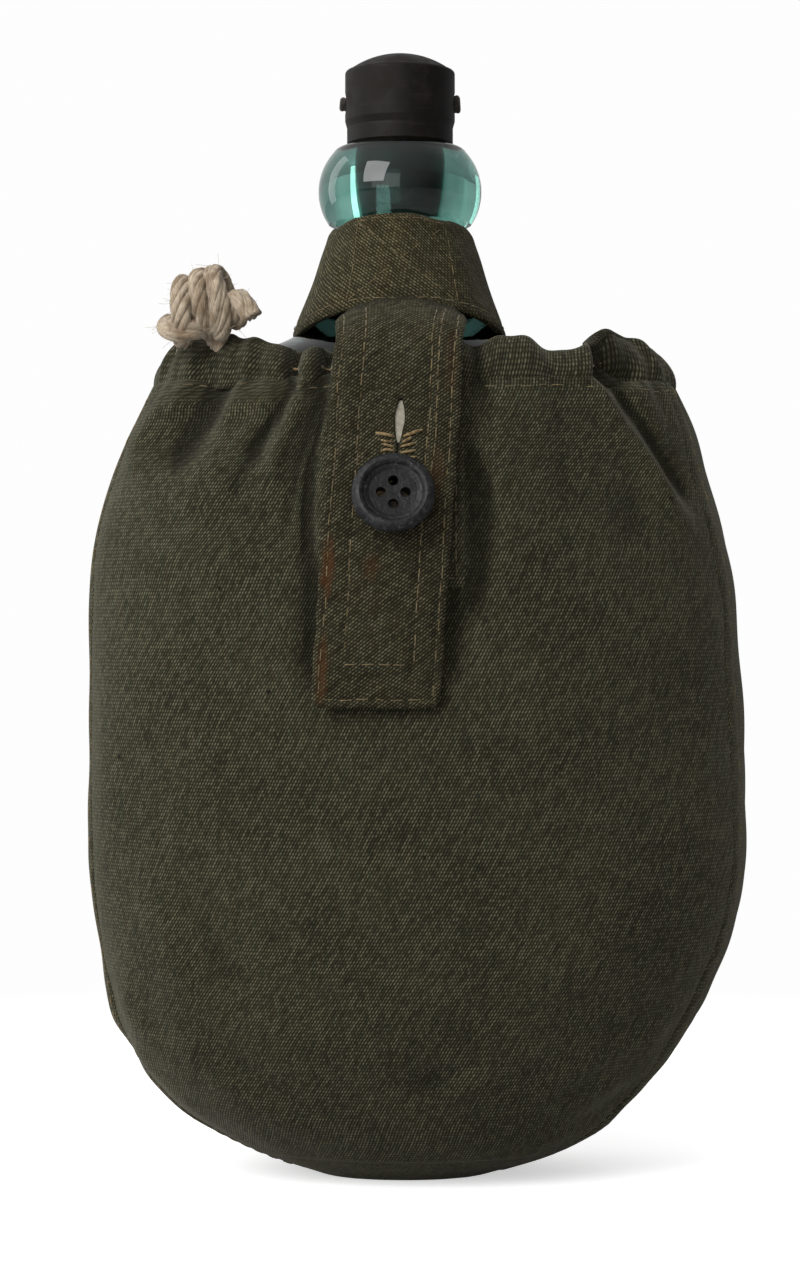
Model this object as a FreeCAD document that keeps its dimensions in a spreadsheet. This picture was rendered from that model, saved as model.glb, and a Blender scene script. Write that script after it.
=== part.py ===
import FreeCAD, Part
import math
import os

import Sketcher
from FreeCAD import Placement, Rotation, Vector

# A flattened glass flask in a cotton cover, in millimetres. +Z is up, the tab and button face -Y, and
# the origin is the centre of the flat base that the flask stands on.

DRIVING_SIZES = {
    # glass
    "glass_half_width": 61.5,
    "glass_half_depth": 33.4,
    "glass_wall": 3.4,
    "bore_radius": 9.2,
    "bore_low": 158.0,
    "neck_radius": 13.2,
    "bead_radius": 16.9,
    "bead_low": 193.4,
    "bead_high": 208.4,
    "bead_curve": 11.8,
    "mouth_height": 209.6,
    "mouth_radius": 11.6,
    # stopper
    "head_radius": 11.25,
    "head_height": 19.2,
    "head_round": 0.8,
    "head_dome_rise": 3.4,
    "plug_length": 12.0,
    "bore_clearance": 0.1,
    "lace_radius": 1.15,
    "lace_height": 218.6,
    "lace_hole_radius": 1.45,
    "lace_knot_radius": 1.5,
    "lace_knot_inset": 0.05,
    "lace_recess_radius": 2.4,
    # cover
    "cover_half_width": 67.4,
    "cover_half_depth": 37.8,
    "cover_shift": 2.0,
    "cloth": 1.2,
    "thread_width": 0.8,
    "thread_proud": 0.3,
    "hem_low": 159.5,
    "hem_high": 168.5,
    "hem_half_width": 52.3,
    "hem_half_depth": 28.9,
    "hem_thick": 4.8,
    "cord_radius": 1.8,
    "cord_riser_radius": 1.6,
    "cord_tunnel_radius": 2.05,
    "cord_eyelet_radius": 1.85,
    "cord_exit_turn": 205.0,
    # neck band and tab
    "band_high": 193.0,
    "band_high_radius": 15.4,
    "band_low": 171.4,
    "band_low_radius": 22.4,
    "band_cloth": 1.5,
    "band_arch": 4.9,
    "tab_width": 26.0,
    "tab_cloth": 1.05,
    "tab_lean": 3.5,
    "tab_low": 95.6,
    "tab_corner": 4.0,
    # button
    "button_radius": 8.0,
    "button_thick": 3.4,
    "button_height": 136.4,
    "button_out": 42.0,
    "button_aside": 1.3,
    "button_tilt": 17.0,
    "button_hole_radius": 1.0,
    "button_hole_ring": 2.35,
    "shank_radius": 1.5,
    # belt strap
    "strap_width": 38.0,
    "strap_cloth": 2.0,
}

doc = FreeCAD.newDocument("canteen")
sheet = doc.addObject("Spreadsheet::Sheet", "sizes")
for row, (alias, number) in enumerate(DRIVING_SIZES.items(), start=1):
    sheet.set(f"A{row}", alias)
    sheet.set(f"B{row}", str(number))
    sheet.setAlias(f"B{row}", alias)
doc.recompute()

nodes = []
STRAP_STEPS = 28


def size(expression):
    """The value of an expression over the sheet's cells."""
    return float(sheet.evalExpression(expression))


def node(solid, label):
    """Names a finished sub-part, which gives its file its name."""
    solid.Label = label
    nodes.append(solid)
    return solid


# ---- helpers for lofts of ellipses -------------------------------------------------------------


def ellipse(name, height, half_width, half_depth, shift="0"):
    """A level ellipse whose place and size are expressions over the sheet."""
    section = doc.addObject("Part::Ellipse", name)
    section.setExpression("MajorRadius", half_width)
    section.setExpression("MinorRadius", half_depth)
    section.setExpression(".Placement.Base.z", height)
    section.setExpression(".Placement.Base.x", shift)
    return section


def loft(name, sections):
    solid = doc.addObject("Part::Loft", name)
    solid.Sections = sections
    solid.Solid = True
    solid.Ruled = False
    return solid


def outward_normals(stations):
    """For each (height, half width, half depth), how far a unit of thickness moves width and height."""
    normals = []
    last = len(stations) - 1
    for index in range(len(stations)):
        below = stations[max(index - 1, 0)]
        above = stations[min(index + 1, last)]
        rise = above[0] - below[0]
        spread = above[1] - below[1]
        length = math.hypot(rise, spread)
        normals.append((rise / length, -spread / length))
    return normals


def oval_loft(name, stations, width_cell, depth_cell, offset, shift_cell=None):
    """A loft through level ellipses. Each station is (height, share of width, share of depth), and
    offset is an expression for how far the surface stands outside them."""
    sized = [(z, w * size(width_cell), d * size(depth_cell)) for z, w, d in stations]
    sections = []
    for index, (station, normal) in enumerate(zip(stations, outward_normals(sized))):
        height, width_share, depth_share = station
        sideways, upward = normal
        shift = "0"
        if shift_cell:
            shift = f"{shift_cell} * {min(1.0, height / 20.0):.3f}"
        sections.append(
            ellipse(
                f"{name}_section_{index}",
                f"{height} + ({offset}) * {upward:.4f}",
                f"{width_cell} * {width_share} + ({offset}) * {sideways:.4f}",
                f"{depth_cell} * {depth_share} + ({offset}) * {sideways:.4f}",
                shift,
            )
        )
    return loft(name, sections)


def cut(name, base, tool):
    result = doc.addObject("Part::Cut", name)
    result.Base = base
    result.Tool = tool
    return result


def fuse(name, shapes):
    result = doc.addObject("Part::MultiFuse", name)
    result.Shapes = shapes
    return result


def common(name, shapes):
    result = doc.addObject("Part::MultiCommon", name)
    result.Shapes = shapes
    return result


def box(name, corner, sides):
    solid = doc.addObject("Part::Box", name)
    for side, value in zip(("Length", "Width", "Height"), sides):
        solid.setExpression(side, value)
    for axis, value in zip("xyz", corner):
        solid.setExpression(f".Placement.Base.{axis}", value)
    return solid


# ---- helpers for turned parts ------------------------------------------------------------------


def origin_plane(body, role):
    return next(feature for feature in body.Origin.OriginFeatures if feature.Role == role)


def new_body(name):
    return doc.addObject("PartDesign::Body", name)


def new_sketch(body, name, role):
    sketch = body.newObject("Sketcher::SketchObject", name)
    sketch.AttachmentSupport = [(origin_plane(body, role), "")]
    sketch.MapMode = "FlatFace"
    return sketch


def hold_point(sketch, line, x_expression, y_expression):
    """Ties a line's first point to its coordinates, which are expressions over the sheet."""
    for kind, expression, axis in (("DistanceX", x_expression, -2), ("DistanceY", y_expression, -1)):
        value = size(expression)
        if abs(value) < 1e-9:
            sketch.addConstraint(Sketcher.Constraint("PointOnObject", line, 1, axis))
        elif value > 0:
            rule = sketch.addConstraint(Sketcher.Constraint(kind, -1, 1, line, 1, value))
            sketch.setExpression(f"Constraints[{rule}]", expression)
        else:
            rule = sketch.addConstraint(Sketcher.Constraint(kind, line, 1, -1, 1, -value))
            sketch.setExpression(f"Constraints[{rule}]", f"-({expression})")


def rounded_side(start, end, radius):
    """The arc that bulges to the right of the way from start to end."""
    chord = end - start
    rise = math.sqrt(radius**2 - (chord.Length / 2) ** 2)
    side = Vector(-chord.y, chord.x, 0).normalize()
    centre = (start + end) / 2 + side * rise
    first = math.atan2(start.y - centre.y, start.x - centre.x)
    last = math.atan2(end.y - centre.y, end.x - centre.x)
    if last < first:
        last += 2 * math.pi
    return Part.ArcOfCircle(Part.Circle(centre, Vector(0, 0, 1), radius), first, last)


def outline(sketch, points):
    """A closed outline through points, anticlockwise, whose coordinates are expressions. A third
    expression is the radius of the round stretch from that point to the next."""
    corners = [Vector(size(point[0]), size(point[1]), 0) for point in points]
    count = len(points)
    for index, point in enumerate(points):
        start = corners[index]
        end = corners[(index + 1) % count]
        if len(point) == 3:
            sketch.addGeometry(rounded_side(start, end, size(point[2])))
            rule = sketch.addConstraint(Sketcher.Constraint("Radius", index, size(point[2])))
            sketch.setExpression(f"Constraints[{rule}]", point[2])
        else:
            sketch.addGeometry(Part.LineSegment(start, end))
    for index in range(count):
        sketch.addConstraint(Sketcher.Constraint("Coincident", index, 2, (index + 1) % count, 1))
    for index, point in enumerate(points):
        hold_point(sketch, index, point[0], point[1])


def circle(sketch, x_expression, y_expression, radius_expression):
    """A circle held by its centre and radius."""
    centre = Vector(size(x_expression), size(y_expression), 0)
    ring = sketch.addGeometry(Part.Circle(centre, Vector(0, 0, 1), size(radius_expression)))
    for kind, expression, axis in (("DistanceX", x_expression, -2), ("DistanceY", y_expression, -1)):
        value = size(expression)
        if abs(value) < 1e-9:
            sketch.addConstraint(Sketcher.Constraint("PointOnObject", ring, 3, axis))
        elif value > 0:
            rule = sketch.addConstraint(Sketcher.Constraint(kind, -1, 1, ring, 3, value))
            sketch.setExpression(f"Constraints[{rule}]", expression)
        else:
            rule = sketch.addConstraint(Sketcher.Constraint(kind, ring, 3, -1, 1, -value))
            sketch.setExpression(f"Constraints[{rule}]", f"-({expression})")
    rule = sketch.addConstraint(Sketcher.Constraint("Radius", ring, size(radius_expression)))
    sketch.setExpression(f"Constraints[{rule}]", radius_expression)


def turned(name, points):
    """A body turned about Z from an outline of (radius, height) expressions."""
    body = new_body(name)
    sketch = new_sketch(body, f"{name}_outline", "XZ_Plane")
    outline(sketch, points)
    spin = body.newObject("PartDesign::Revolution", f"{name}_spin")
    spin.Profile = sketch
    spin.ReferenceAxis = (sketch, ["V_Axis"])
    spin.Angle = 360
    doc.recompute()
    return body


def pocket(body, sketch, name):
    """Cuts a sketch's outline right through a body, both ways."""
    hole = body.newObject("PartDesign::Pocket", name)
    hole.Profile = sketch
    hole.Type = "ThroughAll"
    hole.Midplane = True
    doc.recompute()
    return hole


# ---- helpers for cloth straps and stitching ----------------------------------------------------


def arc_points(points, radius):
    """A closed wire in the XZ plane through points, with each corner rounded by the radius."""
    corners = [Vector(x, 0, z) for x, z in points]
    count = len(corners)
    edges = []
    ends = []
    for index, corner in enumerate(corners):
        before = (corners[index - 1] - corner).normalize()
        after = (corners[(index + 1) % count] - corner).normalize()
        half_turn = math.acos(max(-1.0, min(1.0, before.dot(after)))) / 2
        reach = radius / math.tan(half_turn)
        centre = corner + (before + after).normalize() * (radius / math.sin(half_turn))
        start = corner + before * reach
        end = corner + after * reach
        middle = centre + (corner - centre).normalize() * radius
        edges.append(Part.Arc(start, middle, end).toShape())
        ends.append((start, end))
    for index in range(count):
        edges.append(Part.LineSegment(ends[index][1], ends[(index + 1) % count][0]).toShape())
    return Part.Wire(Part.__sortEdges__(edges))


def front_prism(points, radius, near, far):
    """A rounded outline in XZ, carried along Y from near to far."""
    face = Part.Face(arc_points(points, radius))
    prism = face.extrude(Vector(0, far - near, 0))
    prism.translate(Vector(0, near, 0))
    return prism


def rectangle(x_low, x_high, z_low, z_high):
    return [(x_low, z_low), (x_high, z_low), (x_high, z_high), (x_low, z_high)]


def frame_prism(x_low, x_high, z_low, z_high, radius, near, far):
    """A stitch line that runs round a rectangle, as a prism along Y."""
    width = size("sizes.thread_width")
    outer = front_prism(rectangle(x_low, x_high, z_low, z_high), radius + width, near, far)
    inner_outline = rectangle(x_low + width, x_high - width, z_low + width, z_high - width)
    return outer.cut(front_prism(inner_outline, radius, near, far))


def bar_prism(start, end, near, far):
    """A straight stitch line from start to end, each (x, z), as a prism along Y."""
    width = size("sizes.thread_width")
    first = Vector(start[0], 0, start[1])
    last = Vector(end[0], 0, end[1])
    along = (last - first).normalize()
    side = Vector(-along.z, 0, along.x) * (width / 2)
    corners = [first + side, last + side, last - side, first - side]
    wire = Part.makePolygon([*corners, corners[0]])
    prism = Part.Face(wire).extrude(Vector(0, far - near, 0))
    prism.translate(Vector(0, near, 0))
    return prism


def strap(route, width, low, high, facing):
    """A cloth strap along a route of (height, reach, sag), from low to high above the route's
    surface. Facing is -1 where the strap lies on the front and 1 on the back. The route is
    smoothed and cut into even steps first, and each step is one arched section of the strap."""
    smooth = Part.BSplineCurve()
    smooth.interpolate([Vector(sag, facing * reach, height) for height, reach, sag in route])
    steps = smooth.discretize(Number=STRAP_STEPS)
    across = Vector(width / 2, 0, 0)
    wires = []
    for index, step in enumerate(steps):
        ahead = steps[min(index + 1, STRAP_STEPS - 1)] - steps[max(index - 1, 0)]
        along = Vector(0, ahead.y, ahead.z).normalize()
        out = Vector(0, -along.z, along.y) * facing
        drop = out * step.x
        inner = Vector(0, step.y, step.z) + out * low
        outer = Vector(0, step.y, step.z) + out * high
        rim = [inner - across - drop, inner + across - drop, outer + across - drop, outer - across - drop]
        wires.append(
            Part.Wire(
                [
                    Part.Arc(rim[0], inner, rim[1]).toShape(),
                    Part.LineSegment(rim[1], rim[2]).toShape(),
                    Part.Arc(rim[2], outer, rim[3]).toShape(),
                    Part.LineSegment(rim[3], rim[0]).toShape(),
                ]
            )
        )
    return Part.makeLoft(wires, True, False)


def feature(name, shape, placement=None):
    """A sub-part whose shape is worked out above from the sheet's sizes."""
    holder = doc.addObject("Part::Feature", name)
    holder.Shape = shape
    if placement:
        holder.Placement = placement
    return node(holder, name)


# ---- glass flask -------------------------------------------------------------------------------

# Heights, and the flask's half width and half depth there as shares of its largest.
GLASS_STATIONS = [
    (1.7, 0.36, 0.33),
    (5.0, 0.47, 0.45),
    (12.0, 0.63, 0.63),
    (25.0, 0.805, 0.835),
    (45.0, 0.945, 0.955),
    (75.0, 1.0, 1.0),
    (110.0, 0.995, 0.985),
    (135.0, 0.95, 0.895),
    (150.0, 0.845, 0.76),
    (157.0, 0.755, 0.68),
    (163.0, 0.64, 0.615),
    (168.0, 0.465, 0.545),
    (171.5, 0.335, 0.485),
    (175.5, 0.27, 0.44),
    (181.0, 0.228, 0.41),
]


def make_glass():
    """The blown body, its round neck with a thick ring at the mouth, and the bore through it."""
    width = "sizes.glass_half_width"
    depth = "sizes.glass_half_depth"
    outside = oval_loft("glass_outside", GLASS_STATIONS, width, depth, "0")
    inner_stations = [GLASS_STATIONS[0], *GLASS_STATIONS[2:-2]]
    inside = oval_loft("glass_inside", inner_stations, width, depth, "-sizes.glass_wall")
    neck = turned(
        "glass_neck",
        [
            ("0", "176"),
            ("sizes.neck_radius + 1.2", "176"),
            ("sizes.neck_radius + 0.3", "183"),
            ("sizes.neck_radius", "189"),
            ("sizes.neck_radius", "sizes.bead_low - 0.4"),
            ("sizes.bead_radius - 2.3", "sizes.bead_low + 0.4", "sizes.bead_curve"),
            ("sizes.bead_radius - 3.2", "sizes.bead_high", "sizes.mouth_height - sizes.bead_high + 1.2"),
            ("sizes.mouth_radius", "sizes.mouth_height"),
            ("0", "sizes.mouth_height"),
        ],
    )
    bore = doc.addObject("Part::Cylinder", "glass_bore")
    bore.setExpression("Radius", "sizes.bore_radius")
    bore.setExpression(".Placement.Base.z", "sizes.bore_low")
    bore.setExpression("Height", "sizes.mouth_height - sizes.bore_low + 10")
    whole = fuse("glass_whole", [outside, neck])
    hollow = fuse("glass_hollow", [inside, bore])
    return node(cut("glass_flask", whole, hollow), "glass_flask")


# ---- rubber stopper ----------------------------------------------------------------------------


# The radius of a ball whose cap has the dome's width and rise, so that its middle is on the axis.
DOME_RADIUS = (
    "((sizes.head_radius - sizes.head_round) * (sizes.head_radius - sizes.head_round)"
    " + sizes.head_dome_rise * sizes.head_dome_rise) / (2 * sizes.head_dome_rise)"
)


def make_stopper():
    """Head with a domed top, tapered plug in the bore, and a cross hole with a recess at each end."""
    body = turned(
        "rubber_stopper_blank",
        [
            ("0", "sizes.mouth_height - sizes.plug_length"),
            ("sizes.bore_radius - 1.0", "sizes.mouth_height - sizes.plug_length"),
            ("sizes.bore_radius - 0.6", "sizes.mouth_height - sizes.plug_length + 0.6"),
            ("sizes.bore_radius - sizes.bore_clearance", "sizes.mouth_height - 3"),
            ("sizes.bore_radius - sizes.bore_clearance", "sizes.mouth_height + 0.3"),
            ("sizes.head_radius - 0.8", "sizes.mouth_height + 0.3"),
            ("sizes.head_radius - 0.4", "sizes.mouth_height + 0.8"),
            ("sizes.head_radius - 0.4", "sizes.mouth_height + 4"),
            ("sizes.head_radius", "sizes.mouth_height + 5.4"),
            (
                "sizes.head_radius",
                "sizes.mouth_height + sizes.head_height - sizes.head_dome_rise - sizes.head_round",
                "sizes.head_round",
            ),
            (
                "sizes.head_radius - sizes.head_round",
                "sizes.mouth_height + sizes.head_height - sizes.head_dome_rise",
                DOME_RADIUS,
            ),
            ("0", "sizes.mouth_height + sizes.head_height"),
        ],
    )
    hole_sketch = new_sketch(body, "lace_hole_outline", "YZ_Plane")
    circle(hole_sketch, "0", "sizes.lace_height", "sizes.lace_hole_radius")
    pocket(body, hole_sketch, "lace_hole")
    recess = doc.addObject("Part::Cylinder", "lace_recesses")
    recess.setExpression("Radius", "sizes.lace_recess_radius")
    recess.setExpression("Height", "sizes.head_radius * 2 + 4")
    recess.setExpression(".Placement.Base.x", "-sizes.head_radius - 2")
    recess.setExpression(".Placement.Base.z", "sizes.lace_height")
    recess.Placement.Rotation = Rotation(Vector(0, 1, 0), 90)
    core = box(
        "lace_recess_floor",
        ("-sizes.head_radius + 1.6", "-5", "sizes.lace_height - 5"),
        ("(sizes.head_radius - 1.6) * 2", "10", "10"),
    )
    ends = cut("lace_recess_ends", recess, core)
    return node(cut("rubber_stopper_cut", body, ends), "rubber_stopper")


def make_stopper_lace():
    """A lace through the stopper's cross hole, with a round knot at each end."""
    lace = doc.addObject("Part::Cylinder", "lace_run")
    lace.setExpression("Radius", "sizes.lace_radius")
    lace.setExpression("Height", "sizes.head_radius * 2 + 1.6")
    lace.setExpression(".Placement.Base.x", "-sizes.head_radius - 0.8")
    lace.setExpression(".Placement.Base.z", "sizes.lace_height")
    lace.Placement.Rotation = Rotation(Vector(0, 1, 0), 90)
    knots = []
    for side in (-1, 1):
        knot = doc.addObject("Part::Sphere", f"lace_knot_{len(knots)}")
        knot.setExpression("Radius", "sizes.lace_knot_radius")
        knot.setExpression(".Placement.Base.x", f"{side} * (sizes.head_radius - sizes.lace_knot_inset)")
        knot.setExpression(".Placement.Base.z", "sizes.lace_height")
        knots.append(knot)
    return node(fuse("stopper_lace", [lace, *knots]), "stopper_lace")


# ---- cover -------------------------------------------------------------------------------------

COVER_STATIONS = [
    (0.0, 0.33, 0.32),
    (4.0, 0.49, 0.485),
    (9.0, 0.60, 0.635),
    (15.0, 0.705, 0.735),
    (25.0, 0.825, 0.835),
    (40.0, 0.92, 0.925),
    (60.0, 0.995, 0.98),
    (85.0, 1.0, 1.0),
    (115.0, 0.985, 0.985),
    (135.0, 0.95, 0.94),
    (149.0, 0.885, 0.865),
    (159.5, 0.805, 0.785),
    (167.0, 0.735, 0.715),
]


def cover_loft(name, offset):
    width = "sizes.cover_half_width"
    depth = "sizes.cover_half_depth"
    return oval_loft(name, COVER_STATIONS, width, depth, offset, "sizes.cover_shift")


def make_cover():
    """Front and back halves of the bag, which meet at the side seams. The bag's floor is flat."""
    outside = cover_loft("cover_outside", "0")
    inside = cover_loft("cover_inside", "-sizes.cloth")
    bag = cut("cover_bag", outside, inside)
    panels = []
    for label, start in (("front_panel", "-100"), ("back_panel", "0")):
        half = box(f"{label}_half", ("-100", start, "-1"), ("200", "100", "sizes.hem_low + 1"))
        panels.append(node(common(f"{label}_cloth", [bag, half]), label))
    return panels


def cover_skin(name, low, high):
    """A thin layer that lies on the bag's outside, from low to high above it."""
    outer = cover_loft(f"{name}_outer", high)
    inner = cover_loft(f"{name}_inner", low)
    return cut(f"{name}_skin", outer, inner)


def make_side_seam_thread():
    """A row of stitching beside each side seam, on the front half of the bag."""
    skin = cover_skin("side_seam", "0.02", "sizes.thread_proud")
    row = box("side_seam_row", ("-100", "-3", "10"), ("200", "sizes.thread_width", "sizes.hem_low - 11"))
    return node(common("side_seam_thread_rows", [skin, row]), "side_seam_thread")


# ---- mouth hem and drawstring ------------------------------------------------------------------


def oval_wire(half_width, half_depth, offset, height, shift):
    """An oval of four tangent arcs, moved outwards by offset, at a height."""
    lean = math.hypot(half_width, half_depth)
    part = (lean - (half_width - half_depth)) / 2
    end_radius = part * lean / half_width
    side_radius = (lean - part) * lean / half_depth
    end_centre = half_width - end_radius
    side_centre = side_radius - half_depth
    turn = math.atan2(side_centre, end_centre)
    points = []
    for centre, radius, first, last in (
        (Vector(end_centre, 0, 0), end_radius, -turn, turn),
        (Vector(0, -side_centre, 0), side_radius, turn, math.pi - turn),
        (Vector(-end_centre, 0, 0), end_radius, math.pi - turn, math.pi + turn),
        (Vector(0, side_centre, 0), side_radius, math.pi + turn, 2 * math.pi - turn),
    ):
        reach = radius + offset
        marks = [first, (first + last) / 2, last]
        points.append([centre + Vector(math.cos(a), math.sin(a), 0) * reach for a in marks])
    place = Vector(shift, 0, height)
    return Part.Wire([Part.Arc(*[p + place for p in arc]).toShape() for arc in points])


def hem_middle(offset, height):
    thick = size("sizes.hem_thick")
    return oval_wire(
        size("sizes.hem_half_width") - thick / 2,
        size("sizes.hem_half_depth") - thick / 2,
        offset,
        height,
        size("sizes.cover_shift"),
    )


def hem_tube(radius):
    """A round tube that runs once round the hem at the middle of its height: a turned piece for each arc."""
    path = hem_middle(0, (size("sizes.hem_low") + size("sizes.hem_high")) / 2)
    pieces = []
    for edge in path.Edges:
        start = edge.valueAt(edge.FirstParameter)
        along = edge.tangentAt(edge.FirstParameter)
        disc = Part.Face(Part.Wire([Part.makeCircle(radius, start, along)]))
        turn = math.degrees(edge.LastParameter - edge.FirstParameter)
        pieces.append(disc.revolve(edge.Curve.Center, edge.Curve.Axis, turn))
    return pieces[0].multiFuse(pieces[1:]).removeSplitter()


def exit_point():
    """Where the drawstring comes up out of the hem, on the tunnel's middle line."""
    turn = math.radians(size("sizes.cord_exit_turn"))
    middle = (size("sizes.hem_low") + size("sizes.hem_high")) / 2
    path = hem_middle(0, middle)
    toward = Vector(math.cos(turn), math.sin(turn), 0) * 80
    origin = Vector(size("sizes.cover_shift"), 0, middle)
    ray = Part.LineSegment(origin, origin + toward).toShape()
    return path.distToShape(ray)[1][0][0]


def make_hem():
    """The hem round the mouth: a folded band with a tunnel for the drawstring and one eyelet."""
    low = size("sizes.hem_low")
    rise = size("sizes.hem_high") - low
    half = size("sizes.hem_thick") / 2
    outer = Part.Face(hem_middle(half, low)).extrude(Vector(0, 0, rise))
    inner = Part.Face(hem_middle(-half, low)).extrude(Vector(0, 0, rise))
    band = outer.cut(inner).cut(hem_tube(size("sizes.cord_tunnel_radius")))
    eyelet = Part.makeCylinder(size("sizes.cord_eyelet_radius"), rise, exit_point())
    return feature("mouth_hem", band.cut(eyelet))


def make_hem_thread():
    """The casing's stitch line, a little above the hem's lower edge."""
    half = size("sizes.hem_thick") / 2
    low = size("sizes.hem_low") + 1.0
    rise = Vector(0, 0, size("sizes.thread_width"))
    outer = Part.Face(hem_middle(half + size("sizes.thread_proud"), low)).extrude(rise)
    inner = Part.Face(hem_middle(half + 0.02, low)).extrude(rise)
    return feature("hem_thread", outer.cut(inner))


def make_drawstring():
    """The cotton rope round the tunnel, with its riser through the eyelet."""
    rise = size("sizes.hem_high") + 1.5 - exit_point().z
    riser = Part.makeCylinder(size("sizes.cord_riser_radius"), rise, exit_point())
    return feature("drawstring", hem_tube(size("sizes.cord_radius")).fuse(riser).removeSplitter())


def make_drawstring_knot():
    """The rope's ends, tied in a fat barrel knot that sits on the hem at the eyelet."""
    barrel = Part.makeSphere(1.0)
    stretch = FreeCAD.Matrix()
    stretch.scale(10.6, 6.6, 8.2)
    barrel = barrel.transformGeometry(stretch)
    turned_up = Rotation(Vector(0, 1, 0), -12)
    place = Placement(Vector(-38.6, exit_point().y - 2.5, 177.6), turned_up)
    return feature("drawstring_knot", barrel, place)


# ---- neck band ---------------------------------------------------------------------------------


def band_outline(low, high):
    """The band's section, between two distances from its outer face."""
    flare = "(sizes.band_low_radius - sizes.band_high_radius)"
    rise = "(sizes.band_high - sizes.band_low)"
    stations = [
        ("sizes.band_low_radius", "sizes.band_low"),
        (f"sizes.band_high_radius + {flare} * 0.56", f"sizes.band_low + {rise} * 0.30"),
        (f"sizes.band_high_radius + {flare} * 0.24", f"sizes.band_low + {rise} * 0.62"),
        ("sizes.band_high_radius", "sizes.band_high"),
    ]
    outer = [(f"{radius} + {high}", height) for radius, height in stations]
    inner = [(f"{radius} + {low}", height) for radius, height in reversed(stations)]
    return outer + inner


def make_neck_band():
    """The double cloth band round the neck. Its lower edge is arched, higher at front and back."""
    body = turned("neck_band", band_outline("(-sizes.band_cloth)", "0"))
    arch = new_sketch(body, "neck_band_arch", "XZ_Plane")
    radius = "(sizes.band_low_radius^2 + sizes.band_arch^2) / (2 * sizes.band_arch)"
    circle(arch, "0", f"sizes.band_low + sizes.band_arch - {radius}", radius)
    pocket(body, arch, "neck_band_arch_cut")
    return node(body, "neck_band")


def make_neck_band_thread():
    """A box of stitching with a cross in it, on the front of the neck band."""
    layer = turned("neck_band_thread_layer", band_outline("0.02", "sizes.thread_proud"))
    x_side = 8.6
    z_low = size("sizes.band_low + sizes.band_arch") + 1.2
    z_high = size("sizes.band_high") - 4.0
    near = -30
    far = -5
    pattern = frame_prism(-x_side, x_side, z_low, z_high, 0.4, near, far)
    for start, end in (((-x_side, z_low), (x_side, z_high)), ((-x_side, z_high), (x_side, z_low))):
        pattern = pattern.fuse(bar_prism(start, end, near, far))
    trim = front_prism(rectangle(-x_side, x_side, z_low, z_high), 0.4, near, far)
    return feature("neck_band_thread", layer.Shape.common(pattern).common(trim))


# ---- tab ---------------------------------------------------------------------------------------

# Height, reach to the front and sag of the tab's inner face, from the neck band down.
TAB_ROUTE = [
    (175.4, 15.5, 5.5),
    (173.3, 16.8, 4.9),
    (171.8, 20.0, 3.0),
    (170.7, 25.2, 1.4),
    (169.0, 30.2, 0.7),
    (164.0, 32.0, 0.8),
    (155.0, 34.2, 0.8),
    (145.0, 36.4, 0.8),
    (135.0, 38.0, 0.8),
    (115.0, 39.3, 0.8),
    (90.0, 38.9, 0.8),
]
TAB_HINGE = Vector(0, -17.0, 175.4)


def tab_placement():
    """The tab leans to one side, turned about the front-to-back axis through its top edge."""
    turn = Rotation(Vector(0, 1, 0), size("sizes.tab_lean"))
    return Placement(Vector(), turn, TAB_HINGE)


def tab_trim():
    """The tab's outline seen from the front, with the slit of its buttonhole cut out."""
    half = size("sizes.tab_width") / 2
    low = size("sizes.tab_low")
    corner = size("sizes.tab_corner")
    waist = size("sizes.button_height")
    top = 186
    sides = [
        (-half + 0.3, low),
        (half - 0.3, low),
        (half + 0.5, waist),
        (half - 0.9, top),
        (-half + 0.9, top),
        (-half - 0.5, waist),
    ]
    trim = front_prism(sides, corner, -60, -5)
    eye_x, eye_z = buttonhole_eye()
    eye = Part.makeCylinder(size("sizes.shank_radius") + 0.8, 55, Vector(eye_x, -60, eye_z), Vector(0, 1, 0))
    slit = front_prism(rectangle(eye_x - 1.0, eye_x + 1.0, eye_z - 2.6, eye_z + 18.6), 0.95, -60, -5)
    return trim.cut(eye).cut(slit)


def buttonhole_eye():
    """Where the button's shank passes through the tab, in the tab's own upright frame."""
    place = tab_placement().inverse()
    button = Vector(-size("sizes.button_aside"), 0, size("sizes.button_height") - 0.8)
    upright = place.multVec(button)
    return upright.x, upright.z


def tab_layer(low, high):
    """The tab's cloth between two heights above its inner face, before it is cut to its outline."""
    return strap(TAB_ROUTE, size("sizes.tab_width") + 4, low, high, -1)


def make_tab():
    """Outer layer and lining of the tab, its two rows of stitching and the edge of the buttonhole."""
    cloth = size("sizes.tab_cloth")
    proud = size("sizes.thread_proud")
    trim = tab_trim()
    place = tab_placement()
    feature("tab_lining", tab_layer(0, cloth - 0.04).common(trim), place)
    feature("tab", tab_layer(cloth + 0.04, cloth * 2).common(trim), place)
    half = size("sizes.tab_width") / 2
    low = size("sizes.tab_low")
    near = -60
    far = -18
    top = 171.0
    outer_row = frame_prism(-half + 1.9, half - 1.9, low + 1.9, top, 3.0, near, far)
    inner_row = frame_prism(-half + 6.0, half - 6.0, low + 8.6, top, 1.0, near, far)
    thread_layer = tab_layer(cloth * 2 + 0.02, cloth * 2 + proud)
    eye_x, eye_z = buttonhole_eye()
    edge = rectangle(eye_x - 3.9, eye_x + 3.9, eye_z - 5.2, eye_z + 21.0)
    hole = rectangle(eye_x - 2.4, eye_x + 2.4, eye_z - 3.4, eye_z + 19.4)
    around = front_prism(edge, 2.4, near, far)
    welt = around.cut(front_prism(hole, 1.5, near, far))
    rows = outer_row.fuse(inner_row).cut(around)
    feature("tab_thread", thread_layer.common(rows), place)
    feature("buttonhole_thread", thread_layer.common(welt), place)


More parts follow.
